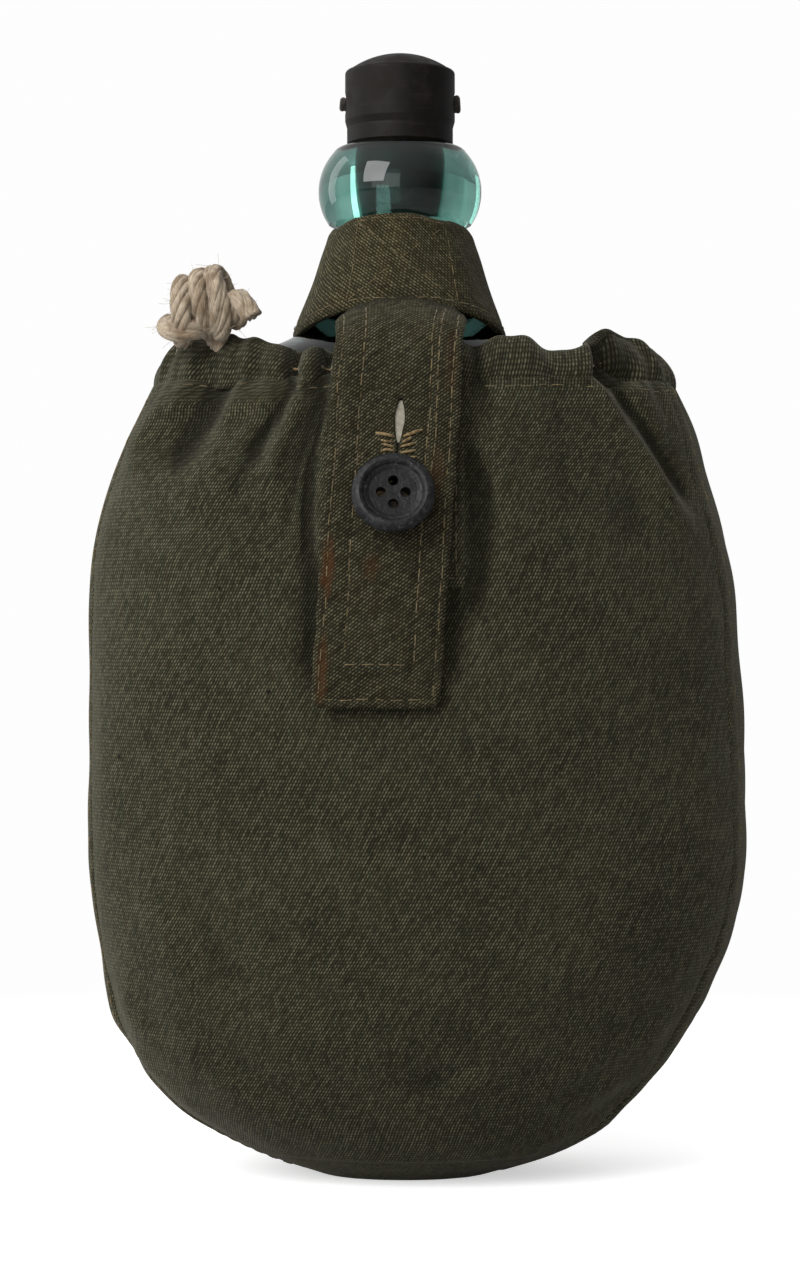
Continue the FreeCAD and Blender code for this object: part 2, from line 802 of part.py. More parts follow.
def make_tab_root():
    """The sewn-in end of the tab, between the glass neck and the neck band."""
    route = [(182.0, 14.3, 3.9), (179.3, 15.0, 3.8), (176.7, 15.9, 3.6)]
    end = strap(route, 20.0, 0, 1.2, -1)
    return feature("tab_root", end)


# ---- button ------------------------------------------------------------------------------------


def button_placement():
    """The button's axis leans up from straight ahead. Its local +Z is the way its face looks."""
    tilt = size("sizes.button_tilt")
    turn = Rotation(Vector(1, 0, 0), 90 - tilt)
    place = Vector(-size("sizes.button_aside"), -size("sizes.button_out"), size("sizes.button_height"))
    return Placement(place, turn)


def make_button():
    """Four-hole button with a raised rim and a dished middle, turned about its own axis."""
    body = turned(
        "button",
        [
            ("0", "0"),
            ("sizes.button_radius - 1.9", "0", "2.6"),
            ("sizes.button_radius", "1.7", "1.7"),
            ("sizes.button_radius - 1.5", "sizes.button_thick", "1.3"),
            ("sizes.button_radius - 2.4", "sizes.button_thick - 0.7"),
            ("sizes.button_radius - 3.4", "sizes.button_thick - 1.1"),
            ("0", "sizes.button_thick - 1.3"),
        ],
    )
    hole = new_sketch(body, "button_hole", "XY_Plane")
    circle(hole, "sizes.button_hole_ring", "0", "sizes.button_hole_radius")
    first = pocket(body, hole, "button_hole_cut")
    holes = body.newObject("PartDesign::PolarPattern", "button_holes")
    holes.Originals = [first]
    holes.Axis = (hole, ["N_Axis"])
    holes.Angle = 360
    holes.Occurrences = 4
    body.Tip = holes
    doc.recompute()
    body.Placement = button_placement()
    return node(body, "button")


def make_button_thread():
    """The cross of sewing thread on the button's face, which goes down through its four holes."""
    ring = size("sizes.button_hole_ring")
    thick = size("sizes.button_thick")
    floor = thick - 1.2
    radius = 0.42
    parts = []
    for turn in range(4):
        angle = math.radians(90 * turn)
        foot = Vector(math.cos(angle) * ring, math.sin(angle) * ring, 0.2)
        parts.append(Part.makeCylinder(radius, floor + radius, foot))
        reach = Vector(math.cos(angle), math.sin(angle), 0)
        start = Vector(0, 0, floor + radius)
        parts.append(Part.makeCylinder(radius, ring, start, reach))
        parts.append(Part.makeSphere(radius, start + reach * ring))
    shape = parts[0].multiFuse(parts[1:])
    return feature("button_thread", shape, button_placement())


def make_button_shank():
    """The wound thread that holds the button off the patch, on the button's axis."""
    place = button_placement()
    back = 0.25
    length = 5.0
    shape = Part.makeCylinder(size("sizes.shank_radius"), length, Vector(0, 0, -back - length))
    return shape, place


# ---- button patch and belt strap ---------------------------------------------------------------


def make_patch():
    """A square of cloth sewn on the bag behind the button, with its stitching and the shank."""
    x_low = -14.6
    x_high = 12.6
    z_low = 119.0
    z_high = 147.0
    near = -60
    far = -20
    layer = cover_skin("patch", "0.03", "1.0")
    doc.recompute()
    square = front_prism(rectangle(x_low, x_high, z_low, z_high), 1.0, near, far)
    patch = layer.Shape.common(square)
    feature("button_patch", patch)
    thread_layer = cover_skin("patch_thread", "1.02", "1.0 + sizes.thread_proud")
    doc.recompute()
    row = frame_prism(x_low + 1.4, x_high - 1.4, z_low + 1.4, z_high - 1.4, 0.6, near, far)
    feature("patch_thread", thread_layer.Shape.common(row))
    shank, place = make_button_shank()
    shank.Placement = place
    outside = cover_loft("patch_outside", "1.02")
    doc.recompute()
    feature("button_shank", shank.cut(outside.Shape))


# Height, reach to the back and sag of the belt strap's inner face, from its top sewn end down.
STRAP_ROUTE = [
    (147.0, 33.55, 1.5),
    (138.5, 35.6, 1.5),
    (135.0, 37.6, 1.5),
    (129.0, 42.6, 1.2),
    (119.0, 45.0, 1.0),
    (104.0, 45.6, 1.0),
    (89.0, 45.0, 1.0),
    (79.0, 42.9, 1.2),
    (73.0, 39.5, 1.5),
    (69.5, 38.4, 1.5),
    (61.0, 37.5, 1.5),
]


def make_belt_strap():
    """A strap sewn flat at both ends on the back of the bag, so that a belt passes behind it."""
    width = size("sizes.strap_width")
    cloth = size("sizes.strap_cloth")
    body = strap(STRAP_ROUTE, width, 0.1, cloth, 1)
    outside = cover_loft("strap_outside", "0.04")
    doc.recompute()
    feature("belt_strap", body.cut(outside.Shape))
    layer = strap(STRAP_ROUTE, width, cloth + 0.06, cloth + 0.06 + size("sizes.thread_proud"), 1)
    half = width / 2 - 2.0
    pattern = None
    for z_low, z_high in ((138.4, 145.4), (62.6, 69.6)):
        row = frame_prism(-half, half, z_low, z_high, 0.4, 20, 60)
        for start, end in (((-half, z_low), (half, z_high)), ((-half, z_high), (half, z_low))):
            row = row.fuse(bar_prism(start, end, 20, 60))
        trim = front_prism(rectangle(-half, half, z_low, z_high), 0.4, 20, 60)
        row = row.common(trim)
        pattern = row if pattern is None else pattern.fuse(row)
    feature("belt_strap_thread", layer.common(pattern))


# ---- build, check and write --------------------------------------------------------------------

make_glass()
make_stopper()
make_stopper_lace()
make_cover()
make_side_seam_thread()
make_hem()
make_hem_thread()
make_drawstring()
make_drawstring_knot()
make_neck_band()
make_neck_band_thread()
make_tab_root()
make_tab()
make_button()
make_button_thread()
make_patch()
make_belt_strap()
doc.recompute()

failed = [thing.Name for thing in doc.Objects if {"Invalid", "Error"} & set(thing.State)]
if failed:
    raise RuntimeError(f"not computed: {failed}")
for part in nodes:
    if part.Shape.isNull() or not part.Shape.isValid():
        raise RuntimeError(f"{part.Label} has no valid shape")

os.makedirs("parts", exist_ok=True)
for part in nodes:
    part.Shape.exportStep(f"parts/{part.Label}.step")
    solids = len(part.Shape.Solids)
    print(f"{part.Label}: {solids} solids, {part.Shape.Volume:.1f} mm3")
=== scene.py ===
import math

import bpy
import numpy as np
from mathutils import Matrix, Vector
from mathutils.bvhtree import BVHTree


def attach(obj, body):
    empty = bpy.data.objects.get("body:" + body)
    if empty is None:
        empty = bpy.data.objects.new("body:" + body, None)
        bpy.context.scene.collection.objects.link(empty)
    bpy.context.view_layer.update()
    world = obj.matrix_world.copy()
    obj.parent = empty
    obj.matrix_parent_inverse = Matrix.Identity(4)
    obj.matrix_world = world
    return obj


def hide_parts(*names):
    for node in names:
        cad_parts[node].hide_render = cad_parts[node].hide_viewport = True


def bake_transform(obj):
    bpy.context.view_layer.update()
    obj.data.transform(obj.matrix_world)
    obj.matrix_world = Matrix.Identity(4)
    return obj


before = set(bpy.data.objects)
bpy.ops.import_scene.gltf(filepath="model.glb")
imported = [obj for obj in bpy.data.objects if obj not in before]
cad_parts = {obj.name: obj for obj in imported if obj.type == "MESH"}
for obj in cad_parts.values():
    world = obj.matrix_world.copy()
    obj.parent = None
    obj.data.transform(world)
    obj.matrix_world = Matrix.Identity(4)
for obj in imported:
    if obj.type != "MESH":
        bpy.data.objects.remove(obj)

MM = 0.001
RNG = np.random.default_rng(7)
CAMERA_DISTANCE = 0.615
EYE_HEIGHT = 0.110
LENS_MM, SENSOR_MM = 85.15, 36
SKY_DIM, SKY_BRIGHT, SKY_BEHIND, SKY_SEEN = 0.07, 0.80, 0.30, 0.985
KEY_WATTS, EDGE_WATTS, WINDOW_WATTS = 8.6, 1.2, 1.6

# The cover: height, left edge and right edge in mm, and its depth as a share of its half depth.
COVER_OUTLINE = [
    (0, -16, 18), (4.2, -28, 31.5), (9.3, -38, 41), (14.5, -46, 46.6), (19.6, -51.2, 51.8),
    (24.7, -54.4, 56), (31, -57.6, 59.8), (40, -60.0, 64.2), (50, -61.6, 68.2), (61, -63.0, 70.6),
    (76, -63.4, 70.8), (96, -63.4, 69.8), (117, -63.1, 68.5), (132, -61.8, 65.8), (143, -58.4, 62.5),
    (153, -53.6, 59.7), (163, -48.8, 54.9), (168, -45.8, 52.4),
]
COVER_DEPTH = [
    (0, 0.30), (4, 0.485), (9, 0.635), (15, 0.735), (25, 0.835), (40, 0.925), (60, 0.98), (85, 1.0),
    (115, 0.985), (135, 0.94), (149, 0.865), (159.5, 0.785), (168, 0.70),
]
COVER_HALF_DEPTH = 37.8
COVER_SQUARENESS = 0.95
COVER_TOP = 161.0
CLOTH = 1.1
TWILL_PITCH = 0.55
ROWS, COLUMNS = 150, 260
RIGHT_SEAM, LEFT_SEAM = math.radians(-19), math.radians(187)

# The folds of the front: a path of (x, z), how far it stands out, and its half width, all in mm.
FRONT_FOLDS = [
    ([(-39, 167), (-44, 157), (-50, 149), (-53, 141)], 1.5, 2.8),
    ([(-34, 163), (-39, 153), (-44, 145), (-46, 138)], -1.5, 3.4),
    ([(-21, 167), (-21, 157), (-26, 150), (-32, 143)], -2.3, 2.0),
    ([(-26, 150), (-31, 143), (-35, 134)], -1.0, 4.5),
    ([(-19.5, 160), (-22.5, 150), (-27, 138)], 1.1, 2.4),
    ([(-14.3, 166), (-14.8, 156), (-17.5, 148), (-18.5, 134), (-19, 118)], -2.2, 1.7),
    ([(-21.2, 168), (-21.4, 157)], -2.0, 0.9),
    ([(-14.6, 168), (-15.2, 155)], -2.0, 0.9),
    ([(-28, 167), (-28.5, 160)], -1.3, 1.2),
    ([(-33, 167), (-33.5, 159)], -1.1, 1.2),
    ([(-38.5, 167), (-39.5, 160)], -0.9, 1.1),
    ([(-46, 160), (-52, 149), (-55, 140)], 0.9, 2.2),
    ([(33, 167), (39.5, 158), (45.5, 151), (51, 143), (56, 134), (59, 126)], 2.3, 2.5),
    ([(39.5, 162), (45, 155), (50.5, 147), (55.5, 139), (59, 131)], -2.6, 2.3),
    ([(39, 162), (44, 160.6), (49, 160.8)], -2.6, 1.5),
    ([(20, 167), (21, 160)], -1.0, 1.5),
    ([(15.5, 166), (15.5, 158)], -0.8, 1.2),
    ([(13, 151), (20, 146), (23, 137)], 0.8, 2.8),
    ([(12.5, 150), (16, 141), (16, 128), (14, 108)], -1.3, 3.2),
    ([(29, 152), (32, 143), (34, 131)], -0.6, 4.6),
    ([(42, 142), (45, 133), (46, 124)], -0.6, 4.6),
    ([(-16, 130), (-17, 112), (-17.5, 97)], -1.2, 2.4),
    ([(11, 130), (10.5, 112), (10, 96)], -0.8, 2.8),
    ([(-50, 62), (-44, 46), (-36, 33)], 0.7, 5.0),
    ([(-44, 64), (-38, 50), (-30, 38)], -0.5, 6.0),
    ([(52, 108), (55, 88), (55, 66)], -0.5, 5.0),
]

# The tab: height, distance out of the front, and how far its edges fall back, in mm.
TAB_ROUTE = [
    (176.5, 17.5, 5.5), (175.0, 19.9, 4.2), (173.0, 23.4, 2.6), (170.6, 27.2, 1.5), (168.0, 30.2, 0.9),
    (164.0, 32.5, 0.9), (155, 34.6, 0.9), (145, 36.9, 0.9), (135, 38.5, 0.9), (125, 39.4, 1.0),
    (115, 39.9, 1.0), (105, 39.8, 1.0), (95.6, 39.3, 1.0),
]
TAB_HALF_WIDTH = 12.6
TAB_THICK = 1.9
TAB_LEAN = math.tan(math.radians(3.7))
SLIT_ACROSS = 1.0
SLIT_TOP, SLIT_LOW, SLIT_LEAF = 155.2, 133.0, 9.0
STRAP_ROUTE = [
    (147, 33.8, 1.5), (138.5, 35.9, 1.5), (135, 37.9, 1.5), (129, 42.8, 1.2), (119, 45.2, 1), (104, 45.8, 1),
    (89, 45.2, 1), (79, 43.1, 1.2), (73, 39.8, 1.5), (69.5, 38.7, 1.5), (61, 37.8, 1.5),
]
STRAP_HALF_WIDTH = 19.0
STRAP_THICK = 1.9

BUTTON_CENTRE = np.array([-1.3, -42.0, 136.4])
BUTTON_OUT = np.array([0.0, -0.9563048, 0.2923717])
BUTTON_UP = np.array([0.0, 0.2923717, 0.9563048])


# ---------------------------------------------------------------- shapes

def through(pairs):
    """A smooth function through (at, value) pairs that doesn't overshoot them."""
    at, value = np.array(pairs, float).T
    slope = np.diff(value) / np.diff(at)
    tangent = np.concatenate([[slope[0]], (slope[:-1] + slope[1:]) / 2, [slope[-1]]])
    tangent[1:-1][slope[:-1] * slope[1:] <= 0] = 0

    def read(where):
        where = np.clip(where, at[0], at[-1])
        i = np.clip(np.searchsorted(at, where) - 1, 0, len(slope) - 1)
        step = at[i + 1] - at[i]
        s = (where - at[i]) / step
        return (
            (2 * s**3 - 3 * s**2 + 1) * value[i] + (s**3 - 2 * s**2 + s) * step * tangent[i]
            + (3 * s**2 - 2 * s**3) * value[i + 1] + (s**3 - s**2) * step * tangent[i + 1]
        )

    return read


cover_left = through([(z, a) for z, a, b in COVER_OUTLINE])
cover_right = through([(z, b) for z, a, b in COVER_OUTLINE])
cover_share = through(COVER_DEPTH)


def lumps(u, v, size, seed):
    """Smooth random hills between about -1 and 1, of one size, over two coordinates, or one and 0."""
    rng = np.random.default_rng(seed)
    total = np.zeros(np.broadcast(u, v).shape)
    for _ in range(9):
        turn = rng.uniform(0, 2 * math.pi)
        wave = rng.uniform(0.6, 1.5) / size
        total += np.sin(2 * math.pi * wave * (u * math.cos(turn) + v * math.sin(turn)) + rng.uniform(0, 6.3))
    return total / 3.6


def bell(offset, width):
    """A smooth hump: 1 where the offset is 0, and nearly gone at twice the width."""
    return np.exp(-((offset / width) ** 2))


def run_along(points):
    """How far along a line each of its points lies."""
    return np.concatenate([[0], np.cumsum(np.linalg.norm(np.diff(points, axis=0), axis=1))])


def unit(vectors):
    """The same directions, each one unit long."""
    return vectors / np.linalg.norm(vectors, axis=-1)[..., None]


def grid_faces(rows, columns, closed=False):
    """The quads of a grid of points that is numbered row by row."""
    steps = columns if closed else columns - 1
    r, c = np.meshgrid(np.arange(rows - 1), np.arange(steps), indexing="ij")
    a = (r * columns + c).ravel()
    b = (r * columns + (c + 1) % columns).ravel()
    return np.stack([a, b, b + columns, a + columns], 1).tolist()


def mesh_piece(name, points, faces, cloth=None, painted_shade=None):
    """A smooth mesh from points in mm.

    cloth is each point's place on the flat cloth, and painted_shade is how much painted shade the cloth
    material puts on it, read as a depth, both in mm.
    """
    mesh = bpy.data.meshes.new(name)
    mesh.from_pydata((np.asarray(points, float) * MM).tolist(), [], faces)
    if cloth is not None:
        loops = np.zeros(len(mesh.loops), np.int32)
        mesh.loops.foreach_get("vertex_index", loops)
        layer = mesh.uv_layers.new(name="cloth")
        layer.data.foreach_set("uv", np.asarray(cloth, np.float32)[loops].ravel())
    # This attribute carries painted shade: how much the cloth material darkens each point.
    if painted_shade is not None:
        depth = mesh.attributes.new("painted_shade", "FLOAT", "POINT")
        depth.data.foreach_set("value", np.asarray(painted_shade, np.float32).ravel())
    mesh.shade_smooth()
    piece = bpy.data.objects.new(name, mesh)
    bpy.context.scene.collection.objects.link(piece)
    return piece


def finished(piece, thick):
    """Gives a piece its cloth thickness in mm, inwards, and smoother faces, and makes them its mesh."""
    solid = piece.modifiers.new("thickness", "SOLIDIFY")
    solid.thickness = thick * MM
    solid.offset = -1.0
    solid.use_even_offset = False
    smooth = piece.modifiers.new("smooth", "SUBSURF")
    smooth.levels = smooth.render_levels = 1
    made = bpy.data.meshes.new_from_object(piece.evaluated_get(bpy.context.evaluated_depsgraph_get()))
    piece.modifiers.clear()
    piece.data = made
    made.shade_smooth()
    return piece


def frames_along(points):
    """Unit tangents, and two sideways directions that turn as little as they can, along a line."""
    points = np.asarray(points, float)
    tangent = unit(np.gradient(points, axis=0))
    side = np.cross(tangent[0], [0.3, 0.2, 0.93])
    sides = []
    for t in tangent:
        side = side - t * (side @ t)
        side = side / np.linalg.norm(side)
        sides.append(side)
    sides = np.array(sides)
    return tangent, sides, np.cross(tangent, sides)


def tube(points, radius, around=8):
    """(points, faces) of a closed tube along a line. radius is one number or one per point."""
    points = np.asarray(points, float)
    radius = np.broadcast_to(np.asarray(radius, float), (len(points),))
    _, side, up = frames_along(points)
    turn = np.linspace(0, 2 * math.pi, around, endpoint=False)
    ring = np.cos(turn)[None, :, None] * side[:, None] + np.sin(turn)[None, :, None] * up[:, None]
    made = (points[:, None] + ring * radius[:, None, None]).reshape(-1, 3)
    faces = grid_faces(len(points), around, closed=True)
    last = (len(points) - 1) * around
    faces.append(list(range(around))[::-1])
    faces.append([last + k for k in range(around)])
    return made, faces


def joined(parts):
    """One (points, faces) from several."""
    points, faces, start = [], [], 0
    for part_points, part_faces in parts:
        points.append(part_points)
        faces += [[i + start for i in face] for face in part_faces]
        start += len(part_points)
    return np.concatenate(points), faces


def stitches(name, rows, length=2.3, gap=0.8, radius=0.2, jitter=0.12, missing=0.04):
    """A row of sewn stitches along each (points, normals) line. They dip into the cloth at their ends."""
    parts = []
    for points, normals in rows:
        points, normals = np.asarray(points, float), np.asarray(normals, float)
        run = run_along(points)
        at = gap / 2
        while at + length < run[-1]:
            size = length * (1 + RNG.uniform(-jitter, jitter))
            sunk = RNG.choice([0.0, 0.35, 1.1], p=[0.6, 0.25, 0.15])
            if RNG.uniform() < missing:
                at += size + gap
                continue
            place = at + size * np.array([0.0, 0.08, 0.5, 0.92, 1.0])
            depth = radius * (np.array([-1.6, 0.30, 0.70, 0.30, -1.6]) - sunk)
            p = np.stack([np.interp(place, run, points[:, k]) for k in range(3)], 1)
            n = np.stack([np.interp(place, run, normals[:, k]) for k in range(3)], 1)
            slip = np.cross(n[2], p[-1] - p[0])
            slip = slip / (np.linalg.norm(slip) + 1e-9) * RNG.normal(0, 0.07)
            parts.append(tube(p + n * depth[:, None] + slip, radius * RNG.uniform(0.85, 1.1), 6))
            at += size + gap * RNG.uniform(0.7, 1.3)
    points, faces = joined(parts)
    return mesh_piece(name, points, faces)


def tree_of(*pieces):
    """What rays are cast at to find a piece's surface."""
    points, faces = [], []
    for piece in pieces:
        start = len(points)
        points += [v.co.copy() for v in piece.data.vertices]
        faces += [[i + start for i in face.vertices] for face in piece.data.polygons]
    return BVHTree.FromPolygons(points, faces)


def onto(tree, origins, directions):
    """(points, normals) in mm where rays from origins first meet a surface; rays that miss are left out."""
    hits, normals = [], []
    for origin, direction in zip(np.asarray(origins, float), np.asarray(directions, float)):
        place, normal, _, _ = tree.ray_cast(Vector(origin * MM), Vector(direction))
        if place is not None:
            if normal.dot(Vector(direction)) > 0:
                normal = -normal
            hits.append(np.array(place) / MM)
            normals.append(np.array(normal))
    return np.array(hits), np.array(normals)


# ---------------------------------------------------------------- materials

class Net:
    """The node tree of a material or of the world, filled in by short calls."""

    def __init__(self, owner):
        owner.use_nodes = True
        self.owner = owner
        self.tree = owner.node_tree

    def put(self, socket, value):
        if isinstance(value, bpy.types.NodeSocket):
            self.tree.links.new(value, socket)
        else:
            socket.default_value = value

    def add(self, kind, inputs, **settings):
        made = self.tree.nodes.new("ShaderNode" + kind)
        for key, value in settings.items():
            setattr(made, key, value)
        for key, value in inputs.items():
            self.put(made.inputs[key], value)
        return made

    def math(self, operation, a, b=0.0):
        return self.add("Math", {0: a, 1: b}, operation=operation).outputs[0]

    def times(self, a, b):
        return self.math("MULTIPLY", a, b)

    def plus(self, a, b):
        return self.math("ADD", a, b)

    def vector(self, operation, a, b):
        return self.add("VectorMath", {0: a, 1: b}, operation=operation).outputs[0]

    def length(self, a):
        return self.add("VectorMath", {0: a}, operation="LENGTH").outputs["Value"]

    def mix(self, share, a, b, blend_type="MIX"):
        made = self.add("Mix", {0: share, 6: a, 7: b}, data_type="RGBA", blend_type=blend_type)
        return made.outputs[2]

    def between(self, value, low, high, to_low=0.0, to_high=1.0):
        inputs = {0: value, 1: low, 2: high, 3: to_low, 4: to_high}
        return self.add("MapRange", inputs, interpolation_type="SMOOTHSTEP").outputs[0]

    def place(self, on_cloth=True):
        """Coordinates in mm: on the flat cloth, or in the object's own space."""
        if on_cloth:
            return self.add("UVMap", {}, uv_map="cloth").outputs[0]
        return self.vector("MULTIPLY", self.add("TexCoord", {}).outputs["Object"], (1 / MM, 1 / MM, 1 / MM))

    def turned(self, place, degrees, stretch):
        """The coordinates turned in their plane, then divided by stretch, which is in mm."""
        inputs = {"Vector": place, "Angle": -math.radians(degrees)}
        turn = self.add("VectorRotate", inputs, rotation_type="Z_AXIS").outputs[0]
        return self.vector("MULTIPLY", turn, tuple(1 / size for size in stretch))

    def noise(self, place, size, detail=3.0, rough=0.55):
        inputs = {"Vector": place, "Scale": 1 / size, "Detail": detail, "Roughness": rough}
        return self.add("TexNoise", inputs).outputs[0]

    def from_spot(self, place, size, degrees=0):
        """The distance to the nearest of many scattered spots, as a share of their spacing in mm."""
        inputs = {"Vector": self.turned(place, degrees, size), "Scale": 1.0}
        return self.add("TexVoronoi", inputs).outputs["Distance"]

    def bump(self, height, depth_mm, strength=1.0, over=None):
        inputs = {"Height": height, "Distance": depth_mm * MM, "Strength": strength}
        if over is not None:
            inputs["Normal"] = over
        return self.add("Bump", inputs).outputs[0]

    def finish(self, base, roughness, normal=None, **constants):
        surface = self.tree.nodes["Principled BSDF"]
        self.put(surface.inputs["Base Color"], base)
        self.put(surface.inputs["Roughness"], roughness)
        if normal is not None:
            self.put(surface.inputs["Normal"], normal)
        for key, value in constants.items():
            surface.inputs[key.replace("_", " ")].default_value = value
        return self.owner


def colour(r, g, b):
    return (r, g, b, 1.0)


def twill(name, green, brown, pale, dark, angle=62, spots=(), pills=True, sheen=0.25):
    """Washed cotton twill: slanting rows of threads, mixed green and brown, with painted shade in its
    hollows, pills and wear.

    Each spot is a stain: its place and size on the flat cloth in mm, its colour, and how strong it is.
    """
    net = Net(bpy.data.materials.new(name))
    place = net.place()
    ripple = net.vector("SUBTRACT", net.noise(place, 3.0), (0.5, 0.5, 0.5))
    bent = net.vector("ADD", place, net.vector("MULTIPLY", ripple, (0.5, 0.5, 0.5)))
    grid = net.add("SeparateXYZ", {0: net.turned(bent, angle, (TWILL_PITCH * 1.45, TWILL_PITCH, 1.0))})
    row = net.math("FLOOR", grid.outputs[1])
    along = net.plus(grid.outputs[0], net.times(row, 0.37))
    over, length = [
        net.math("SINE", net.times(net.math("FRACT", share), math.pi)) for share in (grid.outputs[1], along)
    ]
    dash = net.times(over, net.plus(net.times(length, 0.55), 0.45))
    cell = net.add("CombineXYZ", {0: net.math("FLOOR", along), 1: row}).outputs[0]
    tone = net.add("TexWhiteNoise", {"Vector": cell}).outputs["Value"]
    slub = net.noise(net.turned(place, angle, (5.0, 0.8, 1.0)), 1.0, 3.0)
    hue = net.between(net.noise(net.turned(place, 0, (0.7, 1.6, 1.0)), 4.0, 5.0, 0.62), 0.40, 0.62)
    base = net.mix(hue, colour(*green), colour(*brown))
    wear = net.between(net.noise(place, 22.0, 4.0), 0.3, 0.7, 0.78, 1.2)
    base = net.mix(1.0, base, net.add("CombineColor", {0: wear, 1: wear, 2: wear}).outputs[0], "MULTIPLY")
    light = net.plus(net.times(tone, 0.40), net.times(slub, 1.1))
    lit = net.times(dash, light)
    base = net.mix(net.between(lit, 0.40, 0.95, 0.0, 0.95), base, colour(*pale))
    base = net.mix(net.between(lit, 0.42, 0.08, 0.0, 0.92), base, colour(*dark))
    # Painted shade: the cloth is darkened where the attribute is high, in fold valleys, between pleats and
    # just below the neck band.
    painted_shade = net.add("Attribute", {}, attribute_name="painted_shade").outputs["Fac"]
    base = net.mix(net.between(painted_shade, 0.3, 2.0, 0.0, 0.66), base, colour(*[c * 0.5 for c in dark]))
    if pills:
        distance = net.from_spot(place, (13.0, 13.0, 1.0), 20)
        edge = net.times(net.noise(place, 0.5), 0.035)
        pill = net.between(net.plus(distance, edge), 0.066, 0.042, 0.0, 0.85)
        base = net.mix(pill, base, colour(0.004, 0.004, 0.003))
    for u, v, wide, tall, tint, share in spots:
        flat = net.vector("MULTIPLY", net.vector("ADD", place, (-u, -v, 0)), (1 / wide, 1 / tall, 1))
        ragged = net.plus(net.length(flat), net.times(net.noise(place, 1.6, 4.0), 1.3))
        base = net.mix(net.between(ragged, 1.75, 0.95, 0.0, share), base, colour(*tint))
    normal = net.bump(lit, 0.14, 0.8, net.bump(net.noise(place, 5.0), 0.5, 0.5))
    return net.finish(
        base, 0.95, normal, Sheen_Weight=sheen, Sheen_Roughness=0.45, Sheen_Tint=colour(0.75, 0.72, 0.58),
        Specular_IOR_Level=0.10,
    )


def yarn(name, light, shade, size=0.5, sheen=0.3):
    """Spun cotton or linen thread, with its plies and its dirt."""
    net = Net(bpy.data.materials.new(name))
    place = net.place(on_cloth=False)
    plies = net.noise(net.turned(place, 35, (size, size * 0.4, size)), 1.0, 3.0)
    dirt = net.between(net.noise(place, 5.0, 4.0), 0.42, 0.68)
    base = net.mix(net.between(plies, 0.35, 0.62), colour(*shade), colour(*light))
    base = net.mix(net.times(dirt, 0.6), base, colour(*shade))
    return net.finish(base, 0.85, net.bump(plies, 0.12, 0.8), Sheen_Weight=sheen, Specular_IOR_Level=0.2)


def rope_cotton():
    """Pale twisted cotton with fine fibres, and darker brown patches laid at random."""
    net = Net(bpy.data.materials.new("twisted_cotton"))
    place = net.place()
    fibre = net.noise(net.turned(place, 0, (2.6, 0.16, 1.0)), 1.0, 4.0, 0.6)
    patch = net.noise(net.place(on_cloth=False), 4.0, 3.0)
    base = net.mix(net.between(fibre, 0.3, 0.7), colour(0.28, 0.20, 0.12), colour(0.66, 0.56, 0.43))
    base = net.mix(net.between(patch, 0.42, 0.62, 0.0, 0.8), base, colour(0.21, 0.14, 0.08))
    return net.finish(base, 0.9, net.bump(fibre, 0.22, 0.9), Sheen_Weight=0.3, Specular_IOR_Level=0.15)


def rubber():
    """Old brown-black rubber: dull, dusty, with a rubbed rim and fine scuffs."""
    net = Net(bpy.data.materials.new("old_rubber"))
    place = net.place(on_cloth=False)
    dust = net.between(net.noise(place, 6.0, 6.0, 0.65), 0.42, 0.72)
    scuff = net.between(net.noise(net.turned(place, 0, (14.0, 14.0, 0.8)), 1.0, 4.0), 0.58, 0.72)
    speck = net.between(net.from_spot(place, (7.5, 7.5, 7.5)), 0.050, 0.028)
    base = net.mix(dust, colour(0.0042, 0.0032, 0.0028), colour(0.015, 0.011, 0.0085))
    base = net.mix(net.times(scuff, 0.5), base, colour(0.034, 0.026, 0.020))
    base = net.mix(net.times(speck, 0.6), base, colour(0.22, 0.20, 0.17))
    grain = net.noise(place, 0.35, 4.0)
    rough = net.between(dust, 0.0, 1.0, 0.55, 0.8)
    return net.finish(base, rough, net.bump(grain, 0.06, 0.6), Specular_IOR_Level=0.2)


def glass():
    """Old blue-green glass, in slow bands of tint. Below the neck it is tinted dark: painted shade for the
    inside of the cover.
    """
    net = Net(bpy.data.materials.new("old_glass"))
    place = net.place(on_cloth=False)
    wave = net.noise(net.turned(place, 0, (9.0, 9.0, 4.0)), 1.0, 0.0)
    tint = net.mix(net.between(wave, 0.35, 0.65), colour(0.17, 0.43, 0.36), colour(0.23, 0.52, 0.44))
    height = net.add("SeparateXYZ", {0: place}).outputs[2]
    # Painted shade: below the neck the glass is tinted dark, in place of the shade inside the cover.
    tint = net.mix(net.between(height, 189.0, 184.0), tint, colour(0.035, 0.085, 0.074))
    return net.finish(tint, 0.02, Transmission_Weight=1.0, IOR=1.5)


